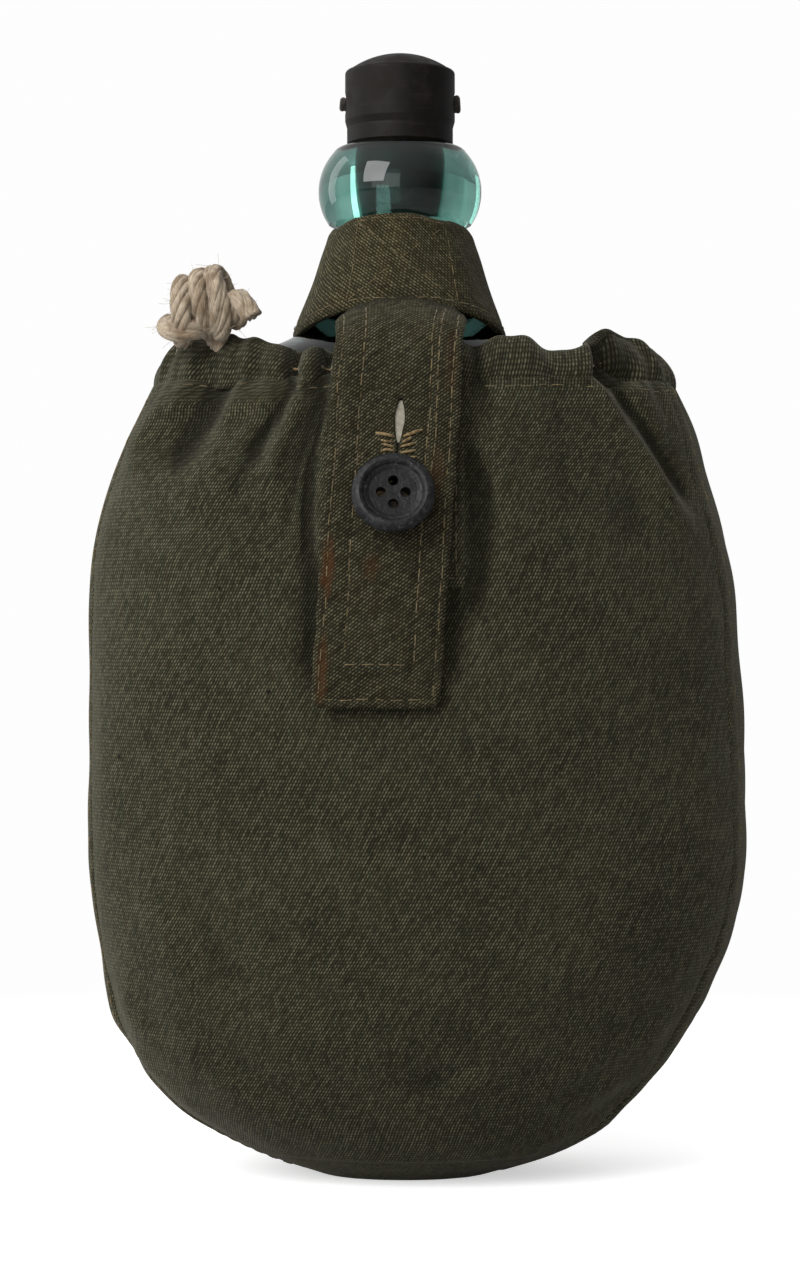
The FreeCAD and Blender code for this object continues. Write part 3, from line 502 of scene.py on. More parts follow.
def button_finish():
    """Worn black button: satin, with a rubbed grey rim and pits of lost polish."""
    net = Net(bpy.data.materials.new("worn_button"))
    place = net.place(on_cloth=False)
    haze = net.between(net.noise(place, 2.4, 6.0, 0.7), 0.40, 0.70)
    scratch = net.between(net.noise(net.turned(place, 30, (3.0, 0.16, 3.0)), 1.0, 3.0), 0.62, 0.74)
    pit = net.between(net.from_spot(place, (1.3, 1.3, 1.3)), 0.16, 0.08)
    base = net.mix(haze, colour(0.005, 0.005, 0.006), colour(0.020, 0.0205, 0.022))
    base = net.mix(net.times(scratch, 0.5), base, colour(0.06, 0.06, 0.062))
    away = net.length(net.vector("SUBTRACT", place, tuple(BUTTON_CENTRE)))
    ragged = net.plus(away, net.times(net.noise(place, 1.2, 4.0), 0.9))
    base = net.mix(net.between(ragged, 6.5, 5.9, 0.0, 0.9), base, colour(0.0035, 0.003, 0.003))
    rubbed = net.between(net.noise(place, 0.9, 5.0, 0.7), 0.52, 0.68, 0.0, 0.6)
    rubbed = net.times(rubbed, net.between(ragged, 5.9, 6.6))
    base = net.mix(rubbed, base, colour(0.075, 0.075, 0.072))
    rough = net.between(haze, 0.0, 1.0, 0.42, 0.7)
    height = net.math("SUBTRACT", net.noise(place, 0.8, 5.0), pit)
    return net.finish(base, rough, net.bump(height, 0.16, 0.8), Specular_IOR_Level=0.3)


def felt():
    """Pale raw cotton of the buttonhole's inside."""
    net = Net(bpy.data.materials.new("raw_cotton"))
    place = net.place(on_cloth=False)
    fibre = net.noise(net.turned(place, 80, (0.3, 2.0, 1.0)), 1.0, 4.0)
    base = net.mix(fibre, colour(0.16, 0.145, 0.11), colour(0.50, 0.47, 0.38))
    return net.finish(base, 0.95, net.bump(fibre, 0.15), Specular_IOR_Level=0.1)


def wear(piece, material):
    """Gives a piece its one material."""
    piece.data.materials.clear()
    piece.data.materials.append(material)
    return piece


def place_on(piece, material, body, node):
    """Gives a piece its material and its body, and hides the CAD node it stands for."""
    wear(piece, material)
    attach(piece, body)
    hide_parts(node)
    return piece


# ---------------------------------------------------------------- stage

def camera():
    """The eye, level with the middle of the canteen and square to its front."""
    data = bpy.data.cameras.new("camera")
    data.lens = LENS_MM
    data.sensor_width = SENSOR_MM
    eye = bpy.data.objects.new("camera", data)
    eye.location = (0, -CAMERA_DISTANCE, EYE_HEIGHT)
    eye.rotation_euler = (math.radians(90), 0, 0)
    bpy.context.scene.collection.objects.link(eye)
    bpy.context.scene.camera = eye


def softbox(name, place, aim, size, watts):
    """One soft square light."""
    data = bpy.data.lights.new(name, "AREA")
    data.shape = "RECTANGLE"
    data.size, data.size_y = size
    data.energy = watts
    light = bpy.data.objects.new(name, data)
    light.location = place
    light.rotation_euler = (Vector(aim) - Vector(place)).to_track_quat("-Z", "Y").to_euler()
    bpy.context.scene.collection.objects.link(light)


def sky():
    """White to the eye; as light it is dim, and brighter from the upper left and from behind."""
    world = bpy.data.worlds.new("white_room")
    bpy.context.scene.world = world
    net = Net(world)
    toward = net.add("TexCoord", {}).outputs["Generated"]

    def glow(direction, low, high, dim, bright):
        facing = net.add("VectorMath", {0: toward, 1: direction}, operation="DOT_PRODUCT").outputs["Value"]
        return net.add("MapRange", {0: facing, 1: low, 2: high, 3: dim, 4: bright}).outputs[0]

    upper_left = glow(Vector((-0.72, -0.20, 0.66)).normalized(), -0.5, 1.0, SKY_DIM, SKY_BRIGHT)
    behind = glow((0.35, 0.93, 0.10), 0.15, 0.75, 0.0, SKY_BEHIND)
    seen = net.add("LightPath", {}).outputs["Is Camera Ray"]
    strength = net.add("Mix", {0: seen, 2: net.plus(upper_left, behind), 3: SKY_SEEN}).outputs[0]
    background = net.tree.nodes["Background"]
    net.put(background.inputs[0], colour(1, 1, 1))
    net.put(background.inputs[1], strength)


def floor_paint():
    """Matt pale floor that fades into the white of the room, and throws little light back up."""
    net = Net(bpy.data.materials.new("studio_floor"))
    place = net.place(on_cloth=False)
    far = net.between(net.length(place), 90.0, 330.0)
    seen = net.add("LightPath", {}).outputs["Is Camera Ray"]
    grain = net.mix(net.noise(place, 30.0), colour(0.90, 0.90, 0.90), colour(0.94, 0.94, 0.94))
    paint = net.mix(seen, colour(0.45, 0.45, 0.45), grain)
    floor = net.finish(paint, 0.9, Specular_IOR_Level=0.0)
    glow = net.times(seen, net.between(far, 0.0, 1.0, 0.55, 1.0))
    white = net.add("Emission", {"Color": colour(0.985, 0.985, 0.985), "Strength": 1.0}).outputs[0]
    lift = net.add("Emission", {"Color": colour(1, 1, 1), "Strength": glow}).outputs[0]
    lit = net.add("AddShader", {0: net.tree.nodes["Principled BSDF"].outputs[0], 1: lift}).outputs[0]
    blend = net.add("MixShader", {0: net.times(far, seen), 1: lit, 2: white}).outputs[0]
    net.put(net.tree.nodes["Material Output"].inputs[0], blend)
    return floor


def studio():
    """A white room, three soft lights and a pale floor."""
    bpy.context.scene.view_settings.view_transform = "Standard"
    sky()
    softbox("key", (-0.62, -0.80, 0.72), (0, 0, 0.13), (0.62, 0.80), KEY_WATTS)
    softbox("window", (-0.42, -1.15, 0.40), (0, 0, 0.19), (0.9, 0.6), WINDOW_WATTS)
    softbox("edge", (-0.75, 0.30, 0.40), (0, 0, 0.10), (0.25, 0.8), EDGE_WATTS)
    around = 96
    rings = [0.0, 0.1, 0.2, 0.4, 0.8, 1.6, 3.0]
    turn = np.linspace(0, 2 * math.pi, around, endpoint=False)
    points = np.array([(r * math.cos(a), r * math.sin(a), 0) for r in rings for a in turn]) / MM
    floor = mesh_piece("floor", points, grid_faces(len(rings), around, closed=True))
    wear(floor, floor_paint())


# ---------------------------------------------------------------- drawstring

ROPE = 4.3
ROPE_EXIT = (-35.5, -16.4, 164.4)
KNOT_TURNS = 3.3


def rope_route():
    """The control points of the rope: up out of the hem, then turns laid side by side, and its cut end."""
    low, high = np.array([-44.4, -19.5, 174.4]), np.array([-32.4, -19.5, 177.4])
    axis = (high - low) / np.linalg.norm(high - low)
    up = np.array([-axis[2], 0, axis[0]])
    out = np.array([0, -1.0, 0])
    points = [np.array(p) for p in (
        ROPE_EXIT, (-35.8, -15.6, 167.2), (-37.0, -17.2, 170.6), (-40.0, -21.8, 170.9),
        (-43.4, -23.4, 169.6), (-46.2, -20.6, 170.4), (-45.6, -16.2, 172.6),
    )]
    steps = int(KNOT_TURNS * 10)
    for k in range(steps + 1):
        share = k / steps
        turn = math.radians(205) - share * KNOT_TURNS * 2 * math.pi
        swell = 4.7 + 0.7 * math.sin(2.2 + 9.0 * share) + 0.5 * math.sin(21.0 * share)
        sway = 0.7 * math.sin(14.0 * share)
        middle = low + (high - low) * share + axis * sway * math.cos(turn)
        points.append(middle + (up * math.cos(turn) * 1.12 + out * math.sin(turn) * 0.86) * swell)
    points.append(points[-1] + np.array([2.0, -1.2, -2.2]))
    points.append(points[-1] + np.array([1.2, -0.2, -2.2]))
    return points


def route_line(points):
    """Points along the one NURBS spline that has these control points, in mm."""
    data = bpy.data.curves.new("route", "CURVE")
    data.dimensions = "3D"
    data.resolution_u = 12
    spline = data.splines.new("NURBS")
    spline.points.add(len(points) - 1)
    for point, place in zip(spline.points, points):
        point.co = (*place, 1.0)
    spline.order_u = 3
    spline.use_endpoint_u = True
    route = bpy.data.objects.new("route", data)
    bpy.context.scene.collection.objects.link(route)
    line = bpy.data.meshes.new_from_object(route.evaluated_get(bpy.context.evaluated_depsgraph_get()))
    found = np.array([v.co for v in line.vertices])
    bpy.data.objects.remove(route)
    bpy.data.meshes.remove(line)
    return found


def evenly(points, step):
    """The same line with points that are one step apart."""
    run = run_along(points)
    at = np.linspace(0, run[-1], int(run[-1] / step) + 1)
    return np.stack([np.interp(at, run, points[:, k]) for k in range(3)], 1), at


def rope():
    """The knotted end of the drawstring: loosely laid yarns round a core, with loose fibres."""
    line, run = evenly(route_line(rope_route()), 0.4)
    _, side, up = frames_along(line)
    yarns, around = 8, 10
    parts, cloth, hairs = [], [], []
    turn = np.linspace(0, 2 * math.pi, around + 1)
    middles = []
    for k in range(yarns + 1):
        lay = 2 * math.pi * (k / yarns + run / 19.0) + 0.25 * np.sin(run / 5.0 + k)
        away = 0.0 if k == yarns else ROPE / 2 - 0.74
        uneven = 1 + 0.16 * np.sin(run / 2.1 + 2.4 * k) + 0.08 * np.sin(run / 0.9 + k)
        thick = 1.6 if k == yarns else 0.78 * uneven
        away = away * (1 + 0.10 * np.sin(run / 3.3 + 1.7 * k))
        middle = line + np.reshape(away, (-1, 1)) * (np.cos(lay)[:, None] * side + np.sin(lay)[:, None] * up)
        middles.append(middle)
        _, s, u = frames_along(middle)
        ring = np.cos(turn)[None, :, None] * s[:, None] + np.sin(turn)[None, :, None] * u[:, None]
        made = middle[:, None] + ring * np.broadcast_to(thick, (len(line),))[:, None, None]
        ends = [[end * (around + 1) + j for j in range(around)] for end in (0, len(line) - 1)]
        parts.append((made.reshape(-1, 3), grid_faces(len(line), around + 1) + ends))
        wide = turn[None, :] * 0.9 + run[:, None] * 0.75 + 11.0 * k
        cloth.append(np.stack([run[:, None] + np.zeros(around + 1), wide], 2).reshape(-1, 2))
    for _ in range(240):
        middle = middles[RNG.integers(yarns)]
        at = RNG.integers(40, len(line) - 4)
        away = middle[at] - line[at]
        away = away / (np.linalg.norm(away) + 1e-9)
        start = middle[at] + away * 0.6
        lean = RNG.normal(0, 0.7, 3) + away * RNG.uniform(0.2, 0.9)
        bow = RNG.normal(0, 0.5, 3)
        share = np.linspace(0, 1, 5)[:, None]
        hair = start + lean * share * RNG.uniform(0.8, 2.0) + bow * share**2
        hairs.append(tube(hair, 0.035, 3))
    fibre = yarn("cotton_fibre", (0.62, 0.54, 0.42), (0.45, 0.36, 0.25))
    fibres = wear(mesh_piece("drawstring_fibres", *joined(hairs)), fibre)
    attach(fibres, "flask")
    points, faces = joined(parts)
    piece = mesh_piece("drawstring_rope", points, faces, np.concatenate(cloth))
    place_on(piece, rope_cotton(), "flask", "drawstring_knot")


def casing_cord(sections, material):
    """The rest of the drawstring, hidden inside the casing whose rings of points these are."""
    middle = sections.mean(axis=1)
    room = np.linalg.norm(sections - middle[:, None], axis=2).min(axis=1)
    points, faces = tube(middle, np.clip(0.6 * room, 0.15, 1.1), 8)
    piece = mesh_piece("drawstring_in_casing", points, faces)
    place_on(piece, material, "flask", "drawstring")


# ---------------------------------------------------------------- cover

def fold_height(x, z, path, height, width):
    """How far one fold lifts the cloth at (x, z). It fades towards both of its ends."""
    path = np.array(path, float)
    best = np.full(x.shape, 1e9)
    along = np.zeros(x.shape)
    lengths = np.linalg.norm(np.diff(path, axis=0), axis=1)
    total, done = lengths.sum(), 0.0
    for a, b, length in zip(path[:-1], path[1:], lengths):
        d = (b - a) / length
        t = np.clip((x - a[0]) * d[0] + (z - a[1]) * d[1], 0, length)
        far = np.hypot(x - a[0] - t * d[0], z - a[1] - t * d[1])
        closer = far < best
        best = np.where(closer, far, best)
        along = np.where(closer, (done + t) / total, along)
        done += length
    fade = np.clip((1 - along) * 3.0, 0, 1)
    if path[0][1] < 160:
        fade = fade * np.clip(along * 3.0, 0, 1)
    fade = fade * fade * (3 - 2 * fade)
    return height * fade * bell(best, width)


def gathers(angle):
    """The small pleats of the drawn-up mouth round the cover, from about -1 to 1."""
    total = np.zeros(np.shape(angle))
    rng = np.random.default_rng(3)
    for count in (17, 23, 31, 44):
        size = rng.uniform(0.25, 0.5)
        total = total + size * np.sin(count * angle + rng.uniform(0, 6.3) + 0.6 * np.sin(3 * angle))
    return total


def cover_section(z, angle):
    """(points, outward directions) of the plain cover at heights z and angles, which have one shape."""
    left, right, deep = cover_left(z), cover_right(z), cover_share(z) * COVER_HALF_DEPTH
    half, middle = (right - left) / 2, (right + left) / 2
    c, s = np.cos(angle), np.sin(angle)
    x = np.sign(c) * np.abs(c) ** COVER_SQUARENESS
    y = np.sign(s) * np.abs(s) ** COVER_SQUARENESS
    normal = unit(np.stack([x / half, y / deep, np.zeros_like(x)], -1))
    return np.stack([middle + half * x, deep * y, z + np.zeros_like(x)], -1), normal


def column_angles():
    """Angles that space the columns of the cover evenly round its widest part."""
    fine = np.linspace(0, 2 * math.pi, 4001)
    ring, _ = cover_section(np.full(fine.shape, 90.0), fine)
    run = run_along(ring)
    return np.interp(np.linspace(0, run[-1], COLUMNS, endpoint=False), run, fine)


def cover_rest(angles):
    """The cover before it settles: rows of points from the middle of its floor up to the hem."""
    fine = np.linspace(0, COVER_TOP, 1200)
    wide = (cover_right(fine) - cover_left(fine)) / 2
    deep = cover_share(fine) * COVER_HALF_DEPTH
    run = np.concatenate([[0], np.cumsum(np.hypot(np.diff(fine), (np.diff(wide) + np.diff(deep)) / 2))])
    floor_rows = 14
    z = np.interp(np.linspace(0, run[-1], ROWS - floor_rows), run, fine)
    z = np.concatenate([np.zeros(floor_rows), z])
    share = np.concatenate([(np.arange(floor_rows) + 0.4) / floor_rows, np.ones(ROWS - floor_rows)])
    zz, aa = np.meshgrid(z, angles, indexing="ij")
    points, normal = cover_section(zz, aa)
    points[..., 0] *= share[:, None]
    points[..., 1] *= share[:, None]
    front = points[..., 1] < 0
    lift = np.zeros(zz.shape)
    for path, height, width in FRONT_FOLDS:
        lift += fold_height(points[..., 0], zz, path, 1.5 * height, width) * front
    for path, height, width in FRONT_FOLDS[:10]:
        turned = [(5 - x, z) for x, z in path]
        lift += fold_height(points[..., 0], zz, turned, 0.8 * height, width * 1.2) * (~front)
    near_top = np.clip((zz - 138) / 22, 0, 1) ** 2
    lift += 0.75 * near_top * gathers(aa)
    lift += 0.35 * lumps(aa * 50, zz, 34, 5) * np.clip(zz / 20, 0, 1)
    lift += 0.45 * lumps(aa * 50, zz, 14, 8) * bell(zz - 24, 16)
    return points + normal * lift[..., None], zz


def settle(points, faces, hold, collider, frames=26):
    """Cloth simulation at ten times the size: the cover sinks onto the glass under its weight."""
    scale = 10.0
    cloth = mesh_piece("cover_simulated", points * scale, faces)
    body = mesh_piece("glass_collider", collider[0] * scale, collider[1])
    body.modifiers.new("collision", "COLLISION")
    body.collision.thickness_outer = 0.006
    body.collision.cloth_friction = 12
    group = cloth.vertex_groups.new(name="held")
    for step in range(21):
        share = step / 20
        chosen = np.nonzero(np.round(hold * 20) == step)[0]
        if share > 0 and len(chosen):
            group.add(chosen.tolist(), share, "REPLACE")
    cover = cloth.modifiers.new("cloth", "CLOTH")
    settings = cover.settings
    settings.quality = 6
    settings.mass = 0.3
    settings.tension_stiffness = settings.compression_stiffness = 18
    settings.shear_stiffness = 8
    settings.bending_stiffness = 1.2
    settings.tension_damping = settings.compression_damping = 12
    settings.vertex_group_mass = "held"
    settings.pin_stiffness = 0.5
    cover.collision_settings.distance_min = 0.006
    cover.collision_settings.collision_quality = 2
    cover.point_cache.frame_start, cover.point_cache.frame_end = 1, frames
    scene = bpy.context.scene
    for step in range(1, frames + 1):
        scene.frame_set(step)
    found = cloth.evaluated_get(bpy.context.evaluated_depsgraph_get()).data
    settled = np.zeros(len(found.vertices) * 3)
    found.vertices.foreach_get("co", settled)
    for gone in (cloth, body):
        bpy.data.objects.remove(gone)
    scene.frame_set(1)
    return settled.reshape(points.shape) / MM / scale


def glass_collider(angles):
    """A shape just inside the cover that stands for the flask while the cloth settles."""
    z = np.linspace(3.0, 160.0, 60)
    zz, aa = np.meshgrid(z, angles[::3], indexing="ij")
    points, normal = cover_section(zz, aa)
    points = points - normal * (3.2 + 0.02 * np.abs(points[..., :1] - 2))
    return points.reshape(-1, 3), grid_faces(len(z), len(angles[::3]), closed=True)


def cloth_places(points):
    """Each point's place on the flat panel: across from the middle column, and up along that column."""
    middle = points.shape[1] // 2
    across = np.array([run_along(row) for row in points])
    across = across - across[:, middle : middle + 1]
    up = run_along(points[:, middle])
    return np.stack([across, np.broadcast_to(up[:, None], across.shape)], -1).reshape(-1, 2)


def hollows(points, angles, rows=5, columns=8):
    """How far each point of the cover lies inside the average of the points round it, in mm; the cloth
    material turns it into painted shade in the fold valleys.
    """
    wide = np.concatenate([points[:, -columns:], points, points[:, :columns]], 1)
    wide = np.stack([wide[:, k : k + points.shape[1]] for k in range(2 * columns + 1)]).mean(axis=0)
    tall = np.concatenate([np.repeat(wide[:1], rows, 0), wide, np.repeat(wide[-1:], rows, 0)])
    tall = np.stack([tall[k : k + len(points)] for k in range(2 * rows + 1)]).mean(axis=0)
    _, normal = cover_section(points[..., 2], np.broadcast_to(angles, points.shape[:2]))
    sunk = ((tall - points) * normal).sum(axis=2)
    sunk = sunk - np.median(sunk, axis=1)[:, None]
    return 1.6 * sunk * np.clip((points[..., 2] - 4) / 8, 0, 1)


def panel(name, points, painted_shade, replaced, material):
    """One half of the cover."""
    rows, columns, _ = points.shape
    piece = mesh_piece(name, points.reshape(-1, 3), grid_faces(rows, columns), cloth_places(points), painted_shade)
    return place_on(finished(piece, CLOTH), material, "flask", replaced)


def cover(material):
    """The two panels, settled on the flask. Returns their points and the columns of the two side seams."""
    angles = column_angles()
    points, heights = cover_rest(angles)
    hold = 0.30 + 0.7 * np.clip((heights - 157) / 3, 0, 1) + 0.7 * np.clip((6 - heights) / 6, 0, 1)
    hold = hold + 0.45 * np.abs(np.cos(angles))[None] ** 4
    hold = np.clip(hold, 0, 1)
    faces = grid_faces(ROWS, COLUMNS, closed=True)
    flat = settle(points.reshape(-1, 3), faces, hold.ravel(), glass_collider(angles))
    points = flat.reshape(points.shape)
    right = int(np.argmin(np.abs(angles - (RIGHT_SEAM + 2 * math.pi))))
    left = int(np.argmin(np.abs(angles - LEFT_SEAM)))
    # Painted shade for the cover's fold valleys, darkest where the cloth lies deepest.
    sunk = hollows(points, angles)
    around = np.arange(COLUMNS)
    forward, behind = around[left : right + 1], np.concatenate([around[right:], around[: left + 1]])
    front = panel("cover_front", points[:, forward], sunk[:, forward], "front_panel", material)
    back = panel("cover_back", points[:, behind], sunk[:, behind], "back_panel", material)
    return front, back, points, (left, right)


HEM_LOW, HEM_HIGH = 158.6, 166.6


def hem_top(x, y):
    """How much higher than the plain hem its top edge stands, round the mouth."""
    front = y < 4
    extra = 2.4 * bell(x - 25, 7) * front - 1.2 * bell(x - 34, 3.2) * front
    extra = extra + 4.0 * bell(x - 48, 8) + 3.1 * bell(x + 41, 11)
    return extra - 1.0 * bell(x + 21, 2.2) * front - 0.9 * bell(x + 14.5, 2.4) * front


def hem(material):
    """The puffed casing round the mouth, drawn into pleats by the drawstring."""
    count, around = 620, 36
    angle = np.linspace(0, 2 * math.pi, count) + math.pi / 2
    turn = np.linspace(0, 2 * math.pi, around, endpoint=False) + math.pi
    aa, tt = np.meshgrid(angle, turn, indexing="ij")
    base, normal = cover_section(np.full(aa.shape, HEM_LOW), aa)
    crest, _ = cover_section(np.full(aa.shape, HEM_HIGH), aa)
    rise = (1 + np.sin(tt)) / 2
    pleat = gathers(aa)
    high = HEM_HIGH + hem_top(base[..., 0], base[..., 1]) + 0.35 * pleat
    high = high + 0.55 * lumps(48 * np.cos(aa), 26 * np.sin(aa), 9, 12)
    line = base * (1 - rise[..., None]) + crest * rise[..., None]
    swell = 1.3 + 1.1 * np.sin(math.pi * np.clip(rise, 0, 1)) ** 0.8 + 0.3 * rise
    away = np.cos(tt) * swell - 1.75
    lift = np.zeros(aa.shape)
    fold_z = np.minimum(line[..., 2], 161.5)
    for path, height, width in FRONT_FOLDS:
        lift += fold_height(line[..., 0], fold_z, path, 1.5 * height, width) * (line[..., 1] < 0)
    outer = np.clip(np.cos(tt) + 0.6, 0, 1)
    beside_exit = 1 - bell(base[..., 0] - ROPE_EXIT[0], 3.4) * (base[..., 1] < 0)
    relief = (lift * 0.8 + 0.75 * pleat * (0.6 + 0.6 * rise)) * beside_exit
    away = away + outer * relief
    points = line + normal * away[..., None]
    points[..., 2] = HEM_LOW + (high - HEM_LOW) * rise - 0.9 * np.cos(tt) * (1 - rise) * 0.6
    faces = [f[::-1] for f in grid_faces(count, around, closed=True)]
    run = run_along(base[:, 0])
    cloth = np.stack([run[:, None] + 0 * tt, 170 + tt * 3.2], -1).reshape(-1, 2)
    # Painted shade: the sunk parts of the pleats are darkened through the attribute.
    piece = mesh_piece("mouth_casing", points.reshape(-1, 3), faces, cloth, -relief)
    place_on(piece, material, "flask", "mouth_hem")
    return piece, points


def beside_seam(points, column, first):
    """(line, sideways, outward) of one seam: a column of the cover's points, from one row up."""
    line = points[first:, column]
    sideways = unit(points[first:, (column + 1) % COLUMNS] - points[first:, column - 1])
    return line, sideways, unit(np.cross(sideways, unit(np.gradient(line, axis=0))))


def side_seams(points, columns, material):
    """The two felled seams: a raised, lumpy fold of cloth where the panels meet."""
    parts, cloth = [], []
    across = np.linspace(-1, 1, 9)
    for column, seed, facing in ((columns[0], 21, -1), (columns[1], 34, 1)):
        line, step, out = beside_seam(points, column, 16)
        z = line[:, 2]
        lump = 0.35 * lumps(z, 0, 17, seed) + 0.9 * bell(z - 64, 5) * (facing < 0)
        lump += 0.8 * bell(z - 36, 5) + 0.5 * bell(z - 12, 5)
        width = 2.6 + 0.5 * lumps(z, 0, 22, seed + 1)
        height = 0.12 + (0.62 + 0.5 * lump)[:, None] * (1 - across**2)
        made = line[:, None] + step[:, None] * (across * width[:, None])[..., None]
        made = made + out[:, None] * (height - 0.35)[..., None]
        parts.append((made.reshape(-1, 3), grid_faces(len(line), len(across))))
        cloth.append(np.stack([across * width[:, None] + 80, z[:, None] + 0 * across], -1).reshape(-1, 2))
    made, faces = joined(parts)
    piece = mesh_piece("side_seams", made, faces, np.concatenate(cloth))
    wear(finished(piece, 0.9), material)
    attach(piece, "flask")
    return piece


# ---------------------------------------------------------------- band, tab and strap

class Ribbon:
    """A strip of cloth over a route in the plane x = 0. Its points are found by place across and run."""

    def __init__(self, route, facing, centre):
        at = np.array(route, float)
        chord = np.concatenate([[0], np.cumsum(np.hypot(np.diff(at[:, 0]), np.diff(at[:, 1])))])
        fine = np.linspace(0, chord[-1], 700)
        self.z = through(list(zip(chord, at[:, 0])))(fine)
        self.reach = through(list(zip(chord, at[:, 1])))(fine)
        self.sag = through(list(zip(chord, at[:, 2])))(fine)
        self.run = np.concatenate([[0], np.cumsum(np.hypot(np.diff(self.z), np.diff(self.reach)))])
        self.facing = facing
        self.centre = centre
        slope_z, slope_r = np.gradient(self.z, self.run), np.gradient(self.reach, self.run)
        size = np.hypot(slope_z, slope_r)
        self.out_z, self.out_r = slope_r / size, -slope_z / size

    def run_at(self, z):
        """The run along the route at a height."""
        return np.interp(-np.asarray(z, float), -self.z, self.run)

    def point(self, across, run, lift, half):
        """(points, outward directions) at places across, runs along and lifts off the route."""
        across, run, lift = np.broadcast_arrays(np.asarray(across, float), run, lift)
        z, reach = np.interp(run, self.run, self.z), np.interp(run, self.run, self.reach)
        sag = np.interp(run, self.run, self.sag)
        out_z, out_r = np.interp(run, self.run, self.out_z), np.interp(run, self.run, self.out_r)
        drop = sag * (across / half) ** 2
        tilt = 2 * sag * across / half**2
        normal = unit(np.stack([tilt, self.facing * out_r, out_z], -1))
        x = self.centre(z) + across
        made = np.stack([x, self.facing * (reach - drop * out_r), z - drop * out_z], -1)
        return made + normal * lift[..., None], normal


tab_route = Ribbon(TAB_ROUTE, -1, lambda z: 0.3 - TAB_LEAN * (174 - z))
strap_route = Ribbon(STRAP_ROUTE, 1, lambda z: 2.0 + 0 * z)
TAB_RUN = tab_route.run[-1]


def tab_relief(across, run):
    """How far the tab's face stands off its plain thickness: it is pinched along its stitches and creased."""
    from_side = TAB_HALF_WIDTH - np.abs(across)
    from_end = TAB_RUN - run
    edge = np.minimum(from_side, from_end)
    pinch = -0.34 * bell(edge - 1.9, 0.7) - 0.26 * bell(edge - 6.0, 0.8)
    roll = -0.75 * bell(edge, 0.8)
    button_at = tab_route.run_at(BUTTON_CENTRE[2])
    dent = -0.25 * bell(run - button_at, 9) * bell(across, 8)
    return pinch + roll + dent + 0.22 * lumps(across, run, 15, 17) + 0.06 * lumps(across, run, 3.4, 18)


def tab(material):
    """The double-cloth tab, with a real slit for its buttonhole, sewn in under the neck band."""
    across = np.linspace(-TAB_HALF_WIDTH, TAB_HALF_WIDTH, 69)
    cut = int(np.argmin(np.abs(across - SLIT_ACROSS)))
    run = np.linspace(0, TAB_RUN, 250)
    aa, rr = np.meshgrid(across, run)
    z = np.interp(rr, tab_route.run, tab_route.z)
    leaf = np.clip((SLIT_TOP - z) / SLIT_LEAF, 0, 1)
    over_shank = np.clip((140.5 - z) / (140.5 - SLIT_LOW), 0, 1)
    open_by = 0.05 + 0.82 * np.sin(math.pi * leaf**0.85) + 1.3 * np.sin(math.pi * over_shank)
    inside = (z < SLIT_TOP) & (z > SLIT_LOW)
    gap = np.where(inside, open_by, 0.0)
    edge_wave = 0.22 * lumps(rr, 0, 9, 30) * np.sign(aa) * (np.abs(aa) / TAB_HALF_WIDTH) ** 4
    near_end = np.clip((rr - TAB_RUN + 5) / 5, 0, 1)
    corner = 1.6 * near_end**3 * np.sign(aa) * (np.abs(aa) / TAB_HALF_WIDTH) ** 8
    end_wave = 0.35 * lumps(aa, 0, 16, 31) * np.clip((rr - TAB_RUN + 6) / 6, 0, 1)
    x = aa + edge_wave - corner
    spread = np.exp(-np.abs(aa - across[cut]) / 2.6)
    left = np.where(aa < across[cut] + 1e-6, x - gap * spread, x + gap * spread)
    lift = TAB_THICK + tab_relief(aa, rr)
    points, _ = tab_route.point(left, rr + end_wave, lift, TAB_HALF_WIDTH)
    rows, columns = aa.shape
    points = points.reshape(-1, 3)
    faces = np.array([f[::-1] for f in grid_faces(rows, columns)])
    cut_rows = np.nonzero(inside[:, cut])[0]
    second = {}
    extra = []
    for row in cut_rows:
        old = row * columns + cut
        second[old] = len(points) + len(extra)
        at = (row, cut)
        made, _ = tab_route.point(x[at] + gap[at], run[row] + end_wave[at], lift[at], TAB_HALF_WIDTH)
        extra.append(made)
    right_of_cut = (faces.min(axis=1) % columns) >= cut
    faces = [
        [second.get(i, i) if moved else i for i in face] for face, moved in zip(faces.tolist(), right_of_cut)
    ]
    points = np.concatenate([points, np.array(extra)])
    flat = np.stack([aa, -rr], -1).reshape(-1, 2)
    flat = np.concatenate([flat, flat[[r * columns + cut for r in cut_rows]]])
    # Painted shade on the top of the tab, just below the neck band.
    sunk = 1.7 * bell(176.0 - z, 2.6).ravel()
    sunk = np.concatenate([sunk, np.zeros(len(cut_rows))])
    piece = mesh_piece("buttoned_tab", points, faces, flat, sunk)
    finished(piece, TAB_THICK - 0.1)
    wear(piece, material)
    return piece


def tab_line(across, run, lift=0.0):
    """(points, normals) of a line on the tab's face."""
    across, run = np.broadcast_arrays(np.asarray(across, float), np.asarray(run, float))
    height = TAB_THICK + tab_relief(across, run) + lift
    return tab_route.point(across, run, height, TAB_HALF_WIDTH)


def tab_stitches():
    """The tab's two rows of stitching, each down one side, across the end and up the other."""
    rows = []
    start = tab_route.run_at(174.3)
    for side_inset, end_inset, z_top in ((1.9, 1.9, start), (6.0, 8.6, start + 1)):
        half, low = TAB_HALF_WIDTH - side_inset, TAB_RUN - end_inset
        down = np.linspace(z_top, low, 160)
        wander = 0.22 * lumps(down, 0, 24, int(side_inset * 7))
        over = np.linspace(-half, half, 60)
        rows.append(tab_line(-half + wander, down))
        rows.append(tab_line(over, low + 0.2 * lumps(over, 0, 14, 6)))
        rows.append(tab_line(half - wander, down[::-1]))
    down = np.linspace(start, tab_route.run_at(135), 120)
    rows.append(tab_line(TAB_HALF_WIDTH - 4.6 + 0.15 * lumps(down, 0, 20, 2), down))
    return stitches("tab_stitching", rows, length=2.5, gap=0.7, radius=0.125)


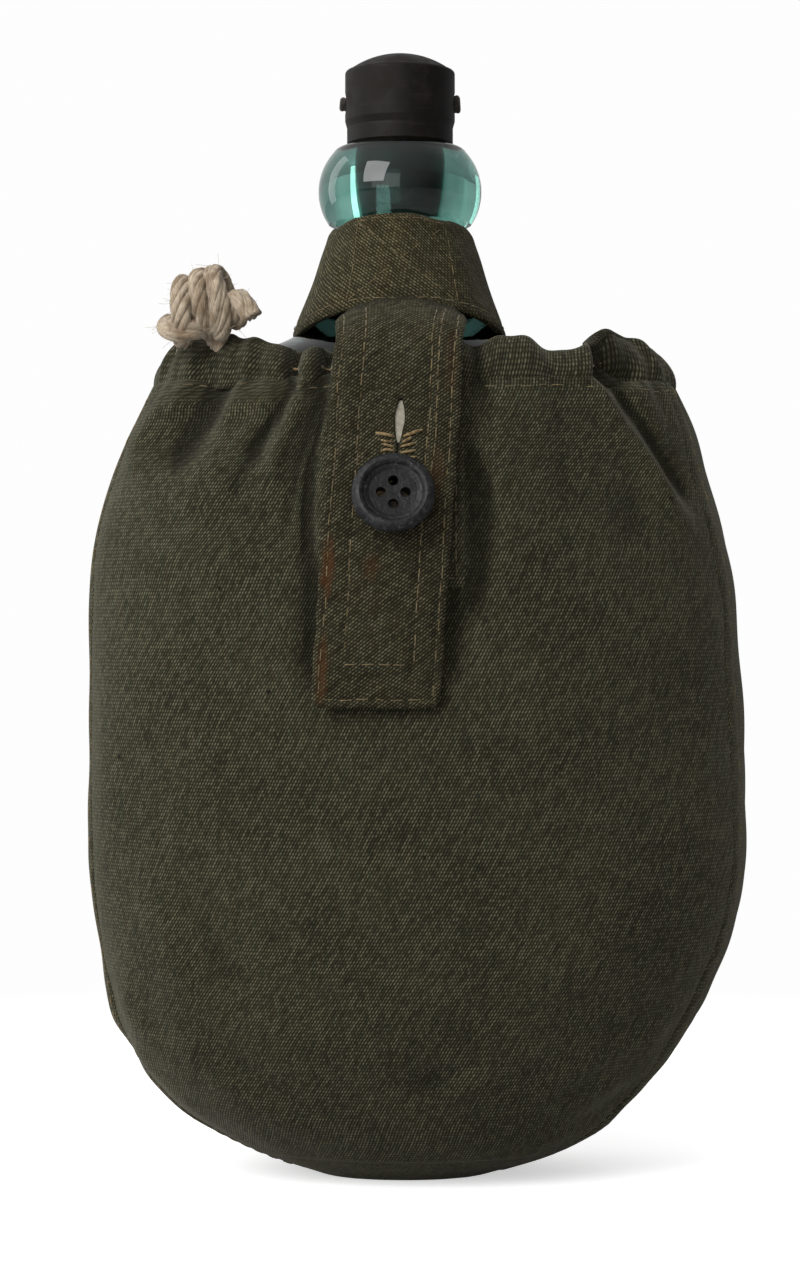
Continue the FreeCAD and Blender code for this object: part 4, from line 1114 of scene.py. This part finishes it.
def buttonhole_bars():
    """Hand-sewn bars along both sides of the buttonhole, uneven and partly worn away."""
    parts = []
    for side in (-1, 1):
        z = 147.6
        while z > 134.5:
            run = tab_route.run_at(z)
            inner = SLIT_ACROSS + side * RNG.uniform(0.35, 0.9)
            outer = SLIT_ACROSS + side * RNG.uniform(2.6, 4.9)
            over = np.linspace(inner, outer, 7)
            slope = 0.3 * (144.0 - z) + RNG.uniform(-0.5, 0.5)
            bow = RNG.uniform(-0.35, 0.35)
            share = np.linspace(0, 1, 7)
            points, normals = tab_line(over, run + slope * share + bow * np.sin(math.pi * share))
            dip = np.array([-0.4, 0.12, 0.30, 0.36, 0.28, 0.08, -0.4])
            thick = RNG.uniform(0.20, 0.36) * np.array([0.5, 0.85, 1.0, 1.0, 1.0, 0.8, 0.45])
            parts.append(tube(points + normals * dip[:, None], thick, 7))
            z -= RNG.uniform(0.65, 1.25)
    points, faces = joined(parts)
    return mesh_piece("buttonhole_stitching", points, faces)


def buttonhole_lining():
    """The pale raw cloth that shows through the slit."""
    share = np.linspace(0, 1, 24)
    z = SLIT_TOP - 0.3 - share * (SLIT_LEAF - 0.6)
    half = 1.3 * np.sin(math.pi * np.clip(share * 0.9 + 0.05, 0, 1)) ** 0.7
    across = SLIT_ACROSS + np.linspace(-1, 1, 7)[None] * half[:, None]
    points, _ = tab_route.point(across, tab_route.run_at(z)[:, None] + 0 * across, 0.9, TAB_HALF_WIDTH)
    piece = mesh_piece("buttonhole_lining", points.reshape(-1, 3), grid_faces(24, 7))
    return finished(piece, 0.5)


def bend_with_tab(piece):
    """Bakes the piece's transform into its mesh."""
    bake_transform(piece)


# The band's radius at each height.
BAND_SIDE = through([
    (169.0, 22.6), (171, 22.1), (174, 20.9), (178.5, 19.0),
    (182, 17.7), (187, 16.2), (190, 15.2), (194, 14.2),
])


def band_surface(angle, up):
    """(points, outward directions) of the neck band. angle is 0 at the front; up goes from 0 to 1."""
    arch = (1 - np.cos(2 * angle)) / 2
    across, deep = 18 * np.sin(angle), 18 * np.cos(angle)
    low = 175.0 - 4.7 * arch**2 + 0.25 * lumps(across, deep, 14, 41)
    high = 194.2 - 1.9 * arch + 0.3 * lumps(across, deep, 12, 42)
    z = low + (high - low) * up
    radius = BAND_SIDE(z)
    front = np.clip(np.cos(angle), 0, 1) ** 2
    radius = radius + front * (0.5 + 0.09 * (z - 175))
    radius = radius + 0.28 * lumps(across + 0.6 * z, deep + 0.8 * z, 13, 43)
    normal = unit(np.stack([np.sin(angle), -np.cos(angle), np.full(np.shape(z), 0.28)], -1))
    return np.stack([radius * np.sin(angle), -radius * np.cos(angle), z], -1), normal


def neck_band(material):
    """The double band round the neck, with rolled edges."""
    count, rows = 260, 60
    angle = np.linspace(0, 2 * math.pi, count) + math.pi
    up = np.linspace(0, 1, rows)
    uu, aa = np.meshgrid(up, angle, indexing="ij")
    points, normal = band_surface(aa, uu)
    edge = np.minimum(uu, 1 - uu) * 19.5
    relief = -0.45 * bell(edge, 0.7) - 0.16 * bell(edge - 2.2, 0.6) * (uu < 0.5)
    points = points + normal * relief[..., None]
    cloth = np.stack([aa * 18.5, uu * 19.5], -1)
    faces = grid_faces(rows, count)
    piece = mesh_piece("neck_band_cloth", points.reshape(-1, 3), faces, cloth.reshape(-1, 2))
    return place_on(finished(piece, 1.4), material, "flask", "neck_band")


def band_line(start, end, count=40):
    """(points, normals) of a straight line on the band between two (x, share of height) places."""
    share = np.linspace(0, 1, count)
    x = start[0] + (end[0] - start[0]) * share
    up = start[1] + (end[1] - start[1]) * share
    return band_surface(np.arcsin(x / 19.0), up)


def band_stitches():
    """The box and cross that hold the tab under the band, and a row along its lower edge, away from the
    front.
    """
    left, right, low, high = -10.0, 10.9, 0.09, 0.94
    corners = [(left, low), (right, low), (right, high), (left, high), (left, low)]
    rows = [band_line(a, b) for a, b in zip(corners[:-1], corners[1:])]
    rows += [band_line((left, low), (right, high)), band_line((left, high), (right, low))]
    angle = np.linspace(0.62, 2 * math.pi - 0.62, 220)
    rows.append(band_surface(angle, np.full(angle.shape, 0.10)))
    return stitches("neck_band_stitching", rows, length=2.0, gap=0.9, radius=0.11)


def belt_strap(material):
    """The belt loop on the back, sewn down at both ends."""
    half, total = STRAP_HALF_WIDTH, strap_route.run[-1]
    across = np.linspace(-half, half, 60)
    run = np.linspace(0, total, 150)
    aa, rr = np.meshgrid(across, run)
    from_side, from_end = half - np.abs(aa), np.minimum(rr, total - rr)
    edge = np.minimum(from_side, from_end)
    relief = -0.6 * bell(edge, 0.8) - 0.3 * bell(edge - 2.0, 0.7) + 0.2 * lumps(aa, rr, 16, 61)
    points, _ = strap_route.point(aa + 0.25 * lumps(rr, 0, 14, 62), rr, STRAP_THICK + relief, half)
    cloth = np.stack([aa, -rr], -1).reshape(-1, 2)
    piece = mesh_piece("belt_loop_cloth", points.reshape(-1, 3), grid_faces(150, 60), cloth)
    return place_on(finished(piece, STRAP_THICK), material, "flask", "belt_strap")


def strap_stitches():
    """A box and cross at each end of the belt loop."""
    half, total = STRAP_HALF_WIDTH - 2.0, strap_route.run[-1]
    rows = []

    def line(a, b):
        share = np.linspace(0, 1, 60)
        across, run = a[0] + (b[0] - a[0]) * share, a[1] + (b[1] - a[1]) * share
        lift = STRAP_THICK + 0.2 * lumps(across, run, 16, 61)
        rows.append(strap_route.point(across, run, lift, STRAP_HALF_WIDTH))

    for near, far in ((2.0, 10.5), (total - 2.0, total - 10.5)):
        corners = [(-half, near), (half, near), (half, far), (-half, far), (-half, near)]
        for a, b in zip(corners[:-1], corners[1:]):
            line(a, b)
        line(corners[0], corners[2])
        line(corners[1], corners[3])
    return stitches("belt_loop_stitching", rows, length=2.4, gap=0.9, radius=0.155)


# ---------------------------------------------------------------- small parts

PATCH = (-14.6, 12.6, 119, 147)
IN_FRONT = -70.0


def patch(surface, material):
    """The reinforcing patch under the button, laid on the cover's front."""
    left, right, low, high = PATCH
    xx, zz = np.meshgrid(np.linspace(left, right, 45), np.linspace(low, high, 45))
    origin = np.stack([xx, np.full(xx.shape, IN_FRONT), zz], -1).reshape(-1, 3)
    hits, _ = onto(surface, origin, np.tile([0, 1.0, 0], (len(origin), 1)))
    edge = np.minimum.reduce([xx - left, right - xx, zz - low, high - zz]).ravel()
    hits[:, 1] -= 0.42 - 0.25 * bell(edge, 0.8) - 0.2 * bell(edge - 2, 0.7)
    piece = mesh_piece("button_backing", hits, grid_faces(45, 45), np.stack([xx, zz], -1).reshape(-1, 2))
    return place_on(finished(piece, 0.45), material, "flask", "button_patch")


def patch_stitches(surface):
    """The row of stitching round the patch."""
    left, right, low, high = (side + inset for side, inset in zip(PATCH, (1.8, -1.8, 1.8, -1.8)))
    corners = [(left, low), (right, low), (right, high), (left, high), (left, low)]
    rows = []
    for a, b in zip(corners[:-1], corners[1:]):
        share = np.linspace(0, 1, 40)
        across, up = a[0] + (b[0] - a[0]) * share, a[1] + (b[1] - a[1]) * share
        origin = np.stack([across, np.full(40, IN_FRONT), up], 1)
        rows.append(onto(surface, origin, np.tile([0, 1.0, 0], (40, 1))))
    return stitches("patch_stitching", rows, length=2.2, gap=0.9, radius=0.15)


def hem_stitches(surface):
    """The casing's stitch line, half sunk in the pleats."""
    angle = np.linspace(0, 2 * math.pi, 500)
    z = 158.9 + 0.7 * lumps(angle * 45, 0, 22, 71)
    ring, normal = cover_section(z, angle)
    row = onto(surface, ring + normal * 20, -normal)
    return stitches("casing_stitching", [row], length=2.1, gap=1.2, radius=0.12, jitter=0.3, missing=0.5)


def seam_stitches(surface, points, columns):
    """The two rows of stitching along each side seam."""
    rows = []
    for column in columns:
        line, step, out = beside_seam(points, column, 18)
        rows.append(onto(surface, line + step * 1.3 + out * 12, -out))
    return stitches("seam_stitching", rows, length=2.2, gap=0.9, radius=0.14)


def button_thread(material):
    """Strands across the four holes, laid as a cross."""
    parts = []
    right = np.array([1.0, 0, 0])
    for first, second in ((right, -right), (BUTTON_UP, -BUTTON_UP)):
        sideways = np.cross(first, BUTTON_OUT)
        for shift in (-0.42, -0.14, 0.14, 0.42):
            share = np.linspace(0, 1, 11)
            bow = np.array([-1.6, -0.1, 0.62, 0.80, 0.86, 0.88, 0.86, 0.80, 0.62, -0.1, -1.6])
            line = BUTTON_CENTRE + first * 2.35 * (1 - 2 * share[:, None]) + sideways * shift
            parts.append(tube(line + BUTTON_OUT * (bow - 0.1 + RNG.uniform(0, 0.15))[:, None], 0.2, 7))
    points, faces = joined(parts)
    place_on(mesh_piece("button_sewing", points, faces), material, "button", "button_thread")


def stopper_lace(material):
    """The lace through the stopper: two strands twisted together, and a small hard knot at each end."""
    height, half, parts = 218.6, 11.3, []
    run = np.linspace(-half, half, 120)
    for phase in (0, math.pi):
        turn = run * 1.9 + phase
        parts.append(tube(np.stack([run, 0.48 * np.cos(turn), height + 0.48 * np.sin(turn)], 1), 0.6, 8))
    for side, tall in ((-1, 1.0), (1, 1.5)):
        turn = np.linspace(0, 4.2 * math.pi, 80)
        x = side * (half + 0.55 * np.sin(turn * 0.31))
        knot = np.stack([x, 0.85 * np.cos(turn), height + tall * 0.85 * np.sin(turn)], 1)
        parts.append(tube(knot, 0.62, 8))
        inside = [[side * 11.2, 0, height - 1], [side * 11.6, 0, height], [side * 11.5, 0, height + 1]]
        parts.append(tube(inside, 0.8, 8))
    points, faces = joined(parts)
    place_on(mesh_piece("stopper_lace_twisted", points, faces), material, "stopper", "stopper_lace")


def carried_over(materials):
    """The CAD parts that are shown as they are get their materials."""
    for node, material in materials.items():
        wear(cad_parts[node], material)


# ---------------------------------------------------------------- the canteen

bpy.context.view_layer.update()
camera()
rope()
studio()

cover_twill = twill(
    "cover_twill", (0.036, 0.036, 0.021), (0.041, 0.035, 0.020), (0.132, 0.127, 0.076), (0.006, 0.006, 0.003),
)
band_twill = twill(
    "band_twill", (0.038, 0.035, 0.018), (0.042, 0.034, 0.016), (0.148, 0.135, 0.074), (0.008, 0.006, 0.003),
    angle=-38, pills=False, sheen=0.12,
)
RUST = (0.058, 0.022, 0.007)
tab_twill = twill(
    "tab_twill", (0.031, 0.029, 0.016), (0.035, 0.029, 0.015), (0.128, 0.119, 0.070), (0.006, 0.005, 0.003),
    angle=42, pills=False, sheen=0.08,
    spots=(
        (-10.6, -62, 1.6, 7.0, RUST, 0.75), (-2.5, -62, 2.2, 3.2, RUST, 0.35),
        (-10.5, -82, 1.4, 9.0, RUST, 0.6), (10.2, -22, 1.4, 9.0, RUST, 0.25), (8.8, -44, 1.8, 6.0, RUST, 0.3),
    ),
)
ochre = yarn("ochre_cotton", (0.215, 0.162, 0.073), (0.070, 0.046, 0.018))
waxed = yarn("buttonhole_cotton", (0.30, 0.215, 0.095), (0.13, 0.072, 0.024), size=0.8)
linen = yarn("button_linen", (0.10, 0.075, 0.05), (0.03, 0.022, 0.015))
dark_lace = yarn("dark_lace", (0.05, 0.042, 0.036), (0.012, 0.010, 0.009))

front, back, cover_points, seam_columns = cover(cover_twill)
casing, casing_rings = hem(cover_twill)
casing_cord(casing_rings, waxed)
seams = side_seams(cover_points, seam_columns, cover_twill)
neck_band(band_twill)
belt_strap(band_twill)
outside = tree_of(front, back, casing, seams)
backing = patch(tree_of(front), cover_twill)

tab_piece = tab(tab_twill)
lining = wear(buttonhole_lining(), felt())
bars = wear(buttonhole_bars(), waxed)
tab_rows = wear(tab_stitches(), ochre)
for piece in (tab_piece, lining, bars, tab_rows):
    bend_with_tab(piece)
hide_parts("tab", "tab_lining", "tab_root")
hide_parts("buttonhole_thread")
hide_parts("tab_thread")

sewing = {
    "neck_band_thread": band_stitches(),
    "belt_strap_thread": strap_stitches(),
    "patch_thread": patch_stitches(tree_of(backing)),
    "hem_thread": hem_stitches(outside),
    "side_seam_thread": seam_stitches(outside, cover_points, seam_columns),
}
for node, piece in sewing.items():
    place_on(piece, ochre, "flask", node)

button_thread(linen)
stopper_lace(dark_lace)
carried_over({
    "glass_flask": glass(), "rubber_stopper": rubber(), "button": button_finish(), "button_shank": linen,
})
